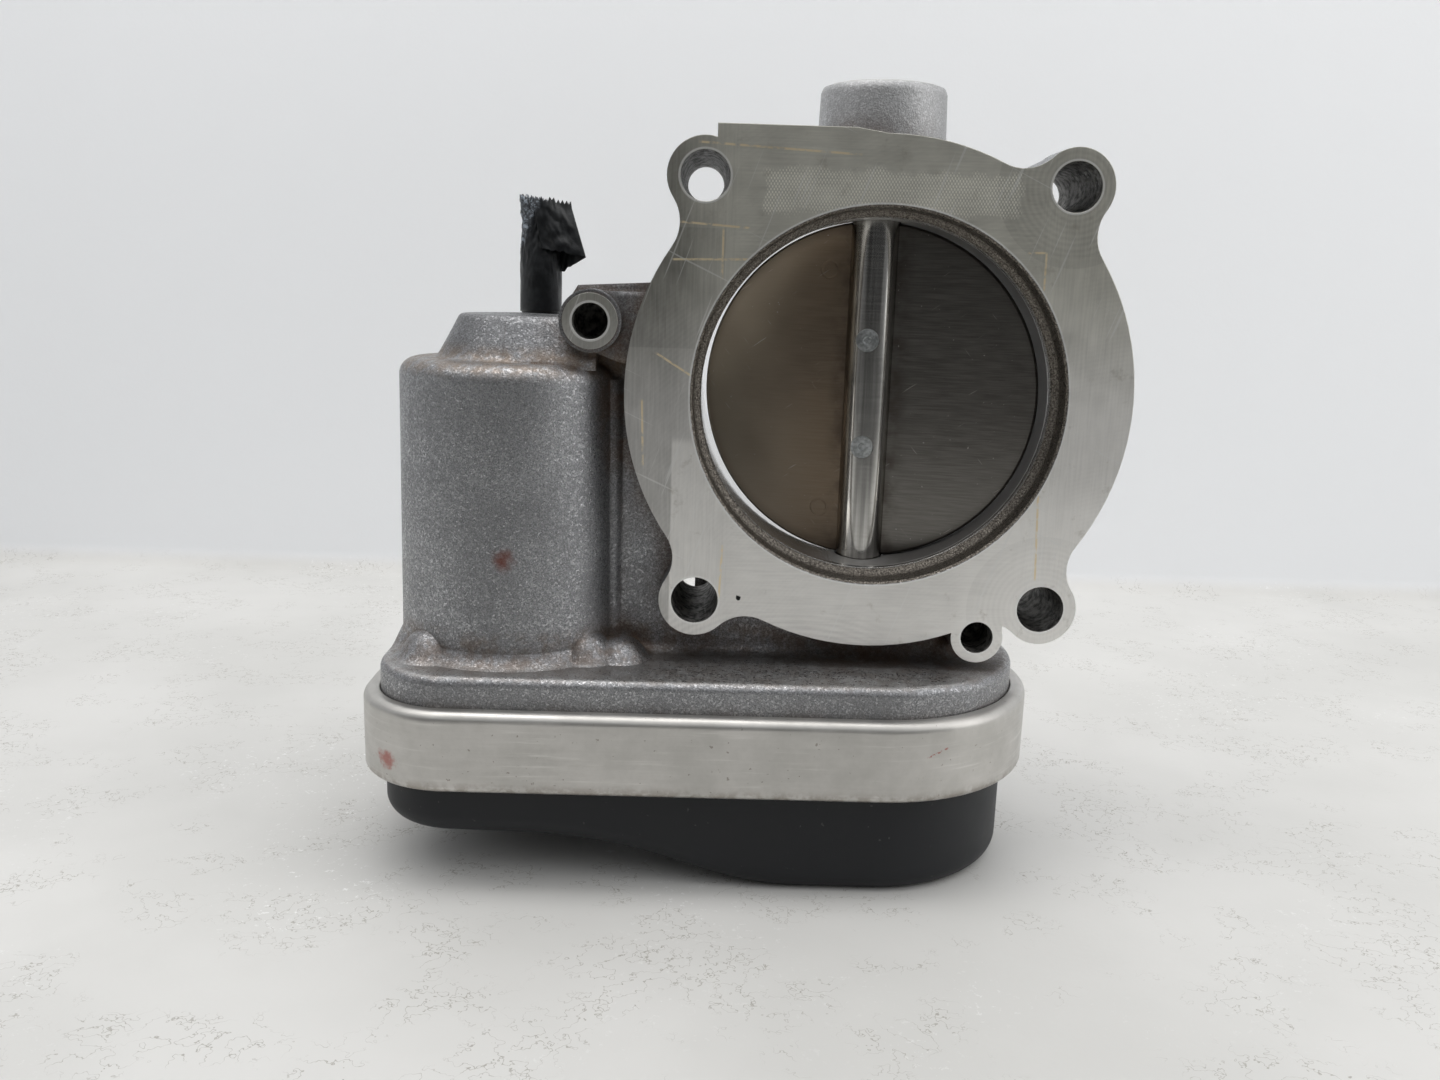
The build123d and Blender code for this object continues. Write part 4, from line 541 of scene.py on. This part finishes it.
def metal(name, light, dark, rough, grain, depth):
    """Plain metal with grain, tarnish in the hollows and wear."""
    g = Graph(name)
    fine = g.noise(grain, 3.0, 0.6)
    clouds = g.noise(5.0, 4.0, 0.65, shift=6.0)
    tarnish = tuple(0.4 * part for part in dark)
    colour = g.mix(g.step(g.add(g.times(fine, 0.6), g.times(clouds, 0.4)), 0.36, 0.62), dark, light)
    colour = g.mix(g.times(g.step(g.hollows(2.0), 0.3, 0.8), 0.6), colour, tarnish)
    roughness = g.blend(g.step(clouds, 0.3, 0.7), rough * 0.8, rough * 1.25)
    return g.finish(colour, roughness, 1.0, g.bump(fine, depth, g.soft_edges(0.15)))


def copper_windings():
    """Steel core with varnished copper at its ends and a copper commutator."""
    g = Graph("copper_windings")
    core = g.between(g.z, -44.0, -14.0, 0.1)
    sheets = g.wave(g.z, 0.7)
    wires = g.wave(g.distance(g.x, -74.0, g.y, 18.5), 0.6)
    copper = g.mix(g.step(wires, -0.2, 0.8), (0.22, 0.08, 0.03), (0.72, 0.34, 0.16))
    steel = g.mix(g.step(sheets, -0.5, 0.5), (0.12, 0.115, 0.11), (0.34, 0.33, 0.32))
    height = g.blend(core, wires, sheets)
    return g.finish(g.mix(core, copper, steel), 0.38, 0.9, g.bump(height, 0.08))


# ---------------------------------------------------------------- plastics, rubber, wires and tape
def plastic(name, light, dark, rough, grain=0.35, depth=0.03, edge=0.3, shine=0.5):
    """Moulded or rubbery surface with fine texture, slow variation and dust on top."""
    g = Graph(name)
    fine = g.noise(grain, 2.0, 0.6)
    clouds = g.step(g.noise(14.0, 3.0, 0.6, shift=2.0), 0.3, 0.7)
    colour = g.mix(clouds, dark, light)
    dust = g.times(g.step(g.nz, 0.3, 0.95), g.step(g.noise(2.0, 3.0, 0.7, shift=8.0), 0.45, 0.75))
    colour = g.mix(g.times(dust, 0.08), colour, (0.45, 0.43, 0.40))
    specks = g.step(g.noise(1.1, 1.0, 0.4, shift=14.0), 0.765, 0.80)
    colour = g.mix(g.times(specks, 0.10), colour, (0.30, 0.29, 0.27))
    roughness = g.add(g.blend(clouds, rough - 0.04, rough + 0.05), g.times(fine, 0.06))
    return g.finish(colour, roughness, 0.0, g.bump(fine, depth, g.soft_edges(edge)), shine)


def circuit_board():
    """Green lacquered board with traces and pads."""
    g = Graph("circuit_board")
    bent = g.times(g.magnitude(g.math("SINE", g.times(g.y, 0.5))), 2.0)
    traces = g.step(g.wave(g.add(g.x, bent), 1.6), 0.5, 0.7)
    colour = g.mix(traces, (0.015, 0.085, 0.035), (0.03, 0.15, 0.06))
    pads = g.step(g.noise(1.2, 0.0, 0.4), 0.70, 0.73)
    colour = g.mix(pads, colour, (0.62, 0.50, 0.25))
    return g.finish(colour, g.blend(pads, 0.28, 0.4), g.times(pads, 0.9), g.bump(traces, 0.02))


# colours of the cable's six wires, in their order around the cable
WIRE_COLOURS = (
    (0.30, 0.03, 0.025),
    (0.03, 0.10, 0.28),
    (0.62, 0.62, 0.58),
    (0.03, 0.20, 0.06),
    (0.09, 0.04, 0.02),
    (0.50, 0.36, 0.04),
)


def wire_insulation():
    """Wires around the cable's axis, each in its own colour."""
    g = Graph("wire_insulation")
    angle = g.math("ARCTAN2", g.minus(g.y, CABLE_Y), g.minus(g.x, CABLE_X))
    sector = g.math("FRACT", g.add(g.times(angle, 1 / (2 * pi)), 1.0))
    ramp = g.node("ShaderNodeValToRGB", {0: sector})
    ramp.color_ramp.interpolation = "CONSTANT"
    stops = ramp.color_ramp.elements
    while len(stops) < len(WIRE_COLOURS):
        stops.new(0.5)
    for step, shade in enumerate(WIRE_COLOURS):
        stops[step].position = step / len(WIRE_COLOURS)
        stops[step].color = (*shade, 1)
    scuff = g.noise(1.0, 3.0, 0.6)
    colour = g.mix(g.times(g.step(scuff, 0.55, 0.8), 0.3), ramp.outputs[0], (0.4, 0.4, 0.4))
    return g.finish(colour, g.blend(scuff, 0.35, 0.55), 0.0, g.bump(scuff, 0.03))


def black_tape():
    """Glossy black tape: smooth below, with a crinkled wedge at the upper left of the cable's end, lightened
    by a painted sheen and painted silvery highlights.
    """
    g = Graph("black_tape")
    wrinkles = g.noise(2.2, 4.0, 0.62)
    sharp = g.noise(0.9, 3.0, 0.7, shift=4.0)
    fine = g.noise(0.5, 3.0, 0.6, g.stretched((1.0, 1.0, 0.35)))
    colour = g.mix(g.step(wrinkles, 0.35, 0.7), (0.008, 0.009, 0.010), (0.019, 0.021, 0.023))
    slope = g.add(g.minus(g.x, CABLE_X), g.times(g.minus(39.0, g.z), 0.42))
    # crinkled wedge, lightened by a painted sheen
    wedge = g.times(g.step(g.add(slope, g.times(wrinkles, 2.4)), 2.6, 1.0), g.step(g.z, 26.5, 30.5))
    # painted silvery highlights on the wedge's crinkles
    glint = g.times(wedge, g.step(sharp, 0.46, 0.62))
    colour = g.mix(g.times(wedge, 0.7), colour, (0.085, 0.093, 0.105))
    colour = g.mix(g.times(glint, 0.9), colour, (0.36, 0.41, 0.47))
    dust = g.times(g.step(g.noise(3.0, 4.0, 0.7, shift=12.0), 0.58, 0.78), 0.3)
    colour = g.mix(dust, colour, (0.045, 0.045, 0.045))
    rough = g.blend(g.step(wrinkles, 0.3, 0.7), 0.30, 0.46)
    height = g.add(g.times(wrinkles, 0.5), g.add(g.times(fine, 0.15), g.times(wedge, sharp, 2.4)))
    return g.finish(colour, rough, 0.0, g.bump(height, 0.22), 0.45)


# slot: light colour, dark colour, roughness, size of the grain, depth of the grain
METALS = {
    "zinc_steel": ((0.66, 0.68, 0.69), (0.34, 0.36, 0.36), 0.34, 0.6, 0.05),
    "bearing_steel": ((0.66, 0.66, 0.65), (0.5, 0.5, 0.49), 0.16, 0.8, 0.01),
    "plated_steel": ((0.60, 0.60, 0.57), (0.42, 0.42, 0.39), 0.30, 0.7, 0.02),
    "spring_steel": ((0.34, 0.34, 0.34), (0.17, 0.165, 0.16), 0.28, 0.6, 0.02),
    "magnet": ((0.13, 0.13, 0.135), (0.07, 0.07, 0.072), 0.5, 0.4, 0.06),
    "bronze": ((0.52, 0.33, 0.16), (0.32, 0.19, 0.09), 0.36, 0.35, 0.04),
    "brass": ((0.76, 0.57, 0.26), (0.55, 0.38, 0.15), 0.26, 0.7, 0.02),
}
# slot: light colour, dark colour, roughness, then what differs from the usual grain, edges and shine
PLASTICS = {
    "black_plastic": ((0.0095, 0.0105, 0.013), (0.007, 0.008, 0.010), 0.44, 0.3, 0.02, 0.8, 0.36),
    "black_rubber": ((0.022, 0.022, 0.022), (0.014, 0.014, 0.014), 0.62, 0.5, 0.05),
    "natural_plastic": ((0.70, 0.66, 0.54), (0.62, 0.57, 0.45), 0.42),
    "gear_plastic": ((0.055, 0.052, 0.048), (0.04, 0.038, 0.036), 0.45, 0.4, 0.04),
}
MATERIALS = {
    "cast_aluminium": cast_aluminium(),
    "band_aluminium": rolled_band(),
    "polished_steel": polished_steel(),
    "plate_steel": plate_steel(),
    "copper_windings": copper_windings(),
    "circuit_board": circuit_board(),
    "wire_insulation": wire_insulation(),
    "black_tape": black_tape(),
}
MATERIALS.update((slot, metal(slot, *look)) for slot, look in METALS.items())
MATERIALS.update((slot, plastic(slot, *look)) for slot, look in PLASTICS.items())


def dress_nodes():
    """Gives each CAD node the material of its slot in the record."""
    slots = {part["node"]: part["material_slot"] for part in frame["record"]["subparts"]}
    for name, node in frame["nodes"].items():
        node.data.materials.clear()
        node.data.materials.append(MATERIALS[slots[name]])


# ---------------------------------------------------------------- taped cable
def link_mesh(name, mesh, material):
    """Object of a finished mesh, with smooth faces."""
    data = bpy.data.meshes.new(name)
    mesh.to_mesh(data)
    mesh.free()
    for face in data.polygons:
        face.use_smooth = True
    data.materials.append(material)
    made = bpy.data.objects.new(name, data)
    bpy.context.scene.collection.objects.link(made)
    return made


def tape_piece(name, mesh, node):
    """Piece of tape that rides on the housing and stands for a CAD node."""
    bmesh.ops.recalc_face_normals(mesh, faces=mesh.faces)
    piece = link_mesh(name, mesh, MATERIALS["black_tape"])
    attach(piece, "housing")
    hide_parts(node)


def lattice(mesh, rows, closed):
    """Faces between rows of points; closed rows join end to end."""
    made = [[mesh.verts.new(point) for point in row] for row in rows]
    for low, high in zip(made, made[1:]):
        count = len(low)
        for step in range(count if closed else count - 1):
            after = (step + 1) % count
            mesh.faces.new((low[step], low[after], high[after], high[step]))
    return made


def ripple(x, y, z, seed):
    """Smooth repeatable noise between -1 and 1."""
    return noise.noise(Vector((x, y, z)) + Vector((seed, seed * 0.7, -seed)))


def tooth(place):
    """Saw teeth between 0 and 1, one per unit of length."""
    return 2 * abs(place % 1.0 - 0.5)


def ramp_up(value, start, end):
    """0 up to start, then straight up to 1 at end."""
    return min(1.0, max(0.0, (value - start) / (end - start)))


def wound_cable():
    """The cable: a tube wound with tape, whose turns overlap in a spiral step."""
    around = 72
    pitch = 9.5 * MM
    step_height = 0.22 * MM
    overlap = 0.07                       # share of a turn in which the step falls off
    low, high = sleeve_low.z, tape_low.z + 6 * MM
    count = int((high - low) / (0.55 * MM))
    mesh = bmesh.new()
    rows = []
    for row in range(count + 1):
        z = low + (high - low) * row / count
        ring = []
        for step in range(around):
            angle = 2 * pi * step / around
            turn = (z / pitch + step / around) % 1.0
            bulge = step_height * (1 - min(turn / (1 - overlap), (1 - turn) / overlap))
            pucker = 0.10 * MM * ripple(3 * cos(angle), 3 * sin(angle), z / (2.6 * MM), 2.0)
            radius = CABLE_R - 0.12 * MM + bulge + pucker
            ring.append(CABLE + Vector((radius * cos(angle), radius * sin(angle), z)))
        rows.append(ring)
    made = lattice(mesh, rows, True)
    mesh.faces.new(list(reversed(made[0])))
    mesh.faces.new(made[-1])
    tape_piece("wound_cable", mesh, "cable_sleeve")


def crumpled_end():
    """Tape round the cable's cut end: smooth below, crumpled above, with a serrated edge at its open top."""
    around, rows_up = 128, 64
    low, high = tape_low.z, tape_high.z
    floor_z = high - 3.4 * MM            # crumpled floor inside the open top
    outside, inside = [], []
    for row in range(rows_up + 1):
        share = row / rows_up
        crumple = share ** 2.2
        waist = 1 - 0.05 * sin(pi * ramp_up(share, 0.55, 0.95))
        thick = 0.22 * MM + 0.25 * MM * (1 - share)
        outer_ring, inner_ring = [], []
        for step in range(around):
            angle = 2 * pi * step / around
            rise = 1.1 * MM * tooth(step / 4) * ramp_up(share, 0.92, 1.0)
            slant = (1.1 * MM * cos(angle - 2.6)) * share ** 3
            z = low + (high - low - 0.9 * MM) * share + rise + slant
            folds = ripple(2.2 * cos(angle), 2.2 * sin(angle), share * 3.0, 5.0)
            creases = abs(ripple(5.0 * cos(angle), 5.0 * sin(angle), share * 9.0, 9.0))
            radius = CABLE_R + 0.30 * MM + crumple * (0.9 * folds - 1.5 * creases) * MM
            radius += 0.10 * MM * ripple(2 * cos(angle), 2 * sin(angle), share * 5, 3.0)
            flat = 1 - 0.22 * crumple * abs(sin(angle))
            outer = Vector((radius * waist * cos(angle), radius * waist * flat * sin(angle), z))
            inner_share = 1 - thick / radius
            inner = Vector((outer.x * inner_share, outer.y * inner_share, z))
            outer_ring.append(CABLE + outer)
            inner_ring.append(CABLE + inner)
        outside.append(outer_ring)
        inside.append(inner_ring)
    mesh = bmesh.new()
    deep = [row for row in inside if row[0].z > floor_z]
    made = lattice(mesh, outside + list(reversed(deep)), True)
    mesh.faces.new(list(reversed(made[0])))
    centre = mesh.verts.new(CABLE + Vector((0.4 * MM, 0.2 * MM, floor_z - 0.9 * MM)))
    last = made[-1]
    for step in range(around):
        mesh.faces.new((last[step], last[(step + 1) % around], centre))
    tape_piece("tape_end", mesh, "tape_wrap")


def patch_point(corners, u, v):
    """Point of a four-cornered patch: corners are low left, low right, top left and top right."""
    low = corners[0].lerp(corners[1], u)
    top = corners[2].lerp(corners[3], u)
    return low.lerp(top, v)


def flap_offset(u, v, seed, bow):
    """How far the crumpled sheet stands off its flat patch at u, v: creases, ragged ends and cut teeth."""
    crease = ripple(u * 3.0 + v * 1.5, v * 2.0, 0.0, seed) + 0.5 * ripple(u * 8.0, v * 5.0, 1.0, seed)
    free = sin(pi * u) * (0.4 + 0.6 * sin(pi * v))
    ragged = 0.9 * MM * ripple(u * 7.0, v * 6.0, 2.0, seed) * (1 - sin(pi * v)) * sin(pi * min(1.0, u * 1.4))
    teeth = 0.85 * MM * tooth(u * 9) * ramp_up(v, 0.93, 1.0)
    return Vector((0, 0.95 * MM * crease * free + bow * free, teeth + ragged))


def folded_flap():
    """Loose end of the tape: a sheet in front of the cable, folded back at its free edge to its side."""
    wide, tall = 36, 56
    thick = 0.25 * MM
    front_y = CABLE.y - CABLE_R - 0.50 * MM
    right_x = CABLE.x + CABLE_R
    tip = Vector((flap_high.x - 0.2 * MM, CABLE.y - 2.2 * MM, flap_low.z + 4.7 * MM))
    top_right = Vector((CABLE.x + 6.9 * MM, CABLE.y - 1.6 * MM, flap_high.z - 0.3 * MM))
    front = (
        Vector((CABLE.x + 0.7 * MM, front_y, flap_low.z + 6.3 * MM)), tip,
        Vector((CABLE.x - 1.2 * MM, front_y + 0.5 * MM, flap_high.z + 0.5 * MM)), top_right,
    )
    rear = (
        Vector((right_x - 0.5 * MM, CABLE.y - 0.4 * MM, flap_low.z + 0.9 * MM)), tip,
        Vector((right_x - 0.2 * MM, CABLE.y + 1.0 * MM, flap_high.z - 1.0 * MM)), top_right,
    )
    mesh = bmesh.new()
    for corners, seed, bow in ((front, 4.0, -0.9 * MM), (rear, 7.0, 0.7 * MM)):
        rings = []
        for row in range(tall + 1):
            v = row / tall
            outer, inner = [], []
            for step in range(wide + 1):
                u = step / wide
                point = patch_point(corners, u, v) + flap_offset(u, v, seed, bow)
                outer.append(point)
                inner.append(point + Vector((0, thick, 0)))
            rings.append(outer + list(reversed(inner)))
        made = lattice(mesh, rings, True)
        for ring, flip in ((made[0], True), (made[-1], False)):
            for step in range(len(ring) // 2 - 1):
                quad = [ring[step], ring[step + 1], ring[-step - 2], ring[-step - 1]]
                mesh.faces.new(list(reversed(quad)) if flip else quad)
    tape_piece("loose_tape", mesh, "tape_flap")


# ---------------------------------------------------------------- stage, light and camera
def stage_material():
    """Pale wall and pale crackled floor, whose far front is dark in reflections, like a dim room."""
    g = Graph("stage")
    clouds = g.noise(90.0, 4.0, 0.55)
    thin = g.noise(5.0, 3.0, 0.6, shift=4.0)
    hair = g.times(g.step(g.magnitude(g.minus(thin, 0.5)), 0.009, 0.002),
                   g.step(g.noise(14.0, 2.0, 0.5, shift=8.0), 0.46, 0.60))
    flakes = g.times(g.step(g.noise(1.6, 4.0, 0.75, shift=15.0), 0.60, 0.66),
                     g.step(g.noise(60.0, 2.0, 0.5, shift=2.0), 0.52, 0.68))
    upright = g.step(g.z, FLOOR_Z / MM + 1, FLOOR_Z / MM + 7)
    floor = g.mix(g.step(clouds, 0.3, 0.7), (0.65, 0.645, 0.622), (0.735, 0.728, 0.706))
    floor = g.mix(g.times(flakes, 0.85), floor, (0.88, 0.88, 0.87))
    floor = g.mix(g.times(hair, 0.75), floor, (0.33, 0.31, 0.27))
    colour = g.mix(upright, floor, (0.93, 0.945, 0.965))
    in_reflection = g.node("ShaderNodeLightPath").outputs["Is Glossy Ray"]
    far_front = g.times(g.step(g.y, -240, -520), in_reflection)
    colour = g.mix(far_front, colour, (0.10, 0.10, 0.095))
    normal = g.bump(g.noise(1.2, 3.0, 0.6), 0.03)
    inputs = {"Base Color": colour, "Roughness": g.blend(upright, 0.52, 0.9), "Normal": normal}
    shader = g.node("ShaderNodeBsdfPrincipled", inputs)

    # the wall's rear is clear, so the object can be seen from behind
    clear = g.node("ShaderNodeBsdfTransparent")
    behind = g.times(g.node("ShaderNodeNewGeometry").outputs["Backfacing"], upright)
    both = g.node("ShaderNodeMixShader", {0: behind, 1: shader.outputs[0], 2: clear.outputs[0]})
    g.node("ShaderNodeOutputMaterial", {"Surface": both.outputs[0]})
    return g.material


def build_stage():
    """Floor that curves up into a back wall."""
    half, front, wall_y, top, curve = 2.2, -2.4, 0.250, 1.6, 0.007
    curve_steps = 12
    profile = [(front, FLOOR_Z)]
    for step in range(curve_steps + 1):
        angle = pi / 2 * step / curve_steps
        profile.append((wall_y - curve + curve * sin(angle), FLOOR_Z + curve * (1 - cos(angle))))
    profile.append((wall_y, top))
    mesh = bmesh.new()
    lattice(mesh, [[Vector((x, y, z)) for x in (-half, half)] for y, z in profile], False)
    bmesh.ops.recalc_face_normals(mesh, faces=mesh.faces)
    for face in mesh.faces:
        if face.normal.z < -0.01 or face.normal.y > 0.5:
            face.normal_flip()
    link_mesh("stage", mesh, stage_material())


def build_world():
    """Bright above and at the sides, dim behind the camera, pale where the camera looks past the stage."""
    world = bpy.data.worlds.new("room")
    bpy.context.scene.world = world
    world.use_nodes = True
    g = Nodes(world.node_tree)
    x, y, z = g.parts(g.node("ShaderNodeTexCoord").outputs["Generated"])
    level = g.math("POWER", g.minus(1.0, g.times(z, z)), 0.5)
    front = g.step(g.math("DIVIDE", y, level), -0.25, -0.85)
    ceiling = g.step(z, 0.25, 0.75)
    dim = g.times(front, g.minus(1.0, ceiling))
    strength = g.add(g.blend(dim, 0.60, 0.06), g.times(ceiling, 0.30))
    from_right = g.node("ShaderNodeMapRange", {0: x, 1: -0.8, 2: 0.8, 3: 0.62, 4: 1.26}).outputs[0]
    lit = g.node("ShaderNodeBackground", {0: (0.97, 0.98, 1.0), 1: g.times(strength, from_right)})
    seen = g.node("ShaderNodeBackground", {0: (0.76, 0.80, 0.83)})
    by_camera = g.node("ShaderNodeLightPath").outputs["Is Camera Ray"]
    mixed = g.node("ShaderNodeMixShader", {0: by_camera, 1: lit.outputs[0], 2: seen.outputs[0]})
    g.node("ShaderNodeOutputWorld", {0: mixed.outputs[0]})


# name: place, what it points at, size, power in watts, colour
LIGHTS = {
    "overhead": ((-0.15, 0.05, 0.62), (-0.03, 0.0, -0.05), (0.7, 0.5), 1.6, (1.0, 0.985, 0.96)),
    "left": ((-0.62, -0.10, 0.15), (-0.06, 0.0, -0.02), (0.35, 0.5), 0.05, (0.96, 0.98, 1.0)),
    "right": ((0.60, -0.16, 0.22), (-0.02, 0.0, -0.02), (0.35, 0.5), 0.8, (1.0, 0.99, 0.97)),
    "wash": ((-0.03, -0.02, 0.50), (-0.03, 0.25, -0.02), (1.2, 0.2), 1.15, (1.0, 0.99, 0.98)),
}


def build_lights():
    """Soft rectangular lights over the object, at its sides and towards the wall."""
    for name, (place, aim, size, power, colour) in LIGHTS.items():
        data = bpy.data.lights.new(name, "AREA")
        data.shape = "RECTANGLE"
        data.size, data.size_y = size
        data.energy = power
        data.color = colour
        lamp = bpy.data.objects.new(name, data)
        lamp.location = place
        lamp.rotation_euler = (Vector(aim) - Vector(place)).to_track_quat("-Z", "Y").to_euler()
        bpy.context.scene.collection.objects.link(lamp)


def build_camera():
    """Camera slightly left of the bore, above it and tipped down."""
    place = (-0.0334, -0.2354, 0.0219)
    yaw, pitch, roll = radians(0.74), radians(12.15), radians(1.77)
    forward = Vector((sin(yaw) * cos(pitch), cos(yaw) * cos(pitch), -sin(pitch)))
    level = Vector((cos(yaw), -sin(yaw), 0))
    down = -level.cross(forward)
    right = level * cos(roll) - down * sin(roll)
    up = -(level * sin(roll) + down * cos(roll))
    data = bpy.data.cameras.new("camera")
    data.sensor_width = 36.0
    data.lens = 30.0
    data.clip_start, data.clip_end = 0.01, 20.0
    camera = bpy.data.objects.new("camera", data)
    turn = Matrix((right, up, -forward)).transposed().to_4x4()
    camera.matrix_world = Matrix.Translation(place) @ turn
    bpy.context.scene.collection.objects.link(camera)
    bpy.context.scene.camera = camera


dress_nodes()
wound_cable()
crumpled_end()
folded_flap()
build_stage()
build_world()
build_lights()
build_camera()
bpy.context.scene.view_settings.view_transform = "Standard"
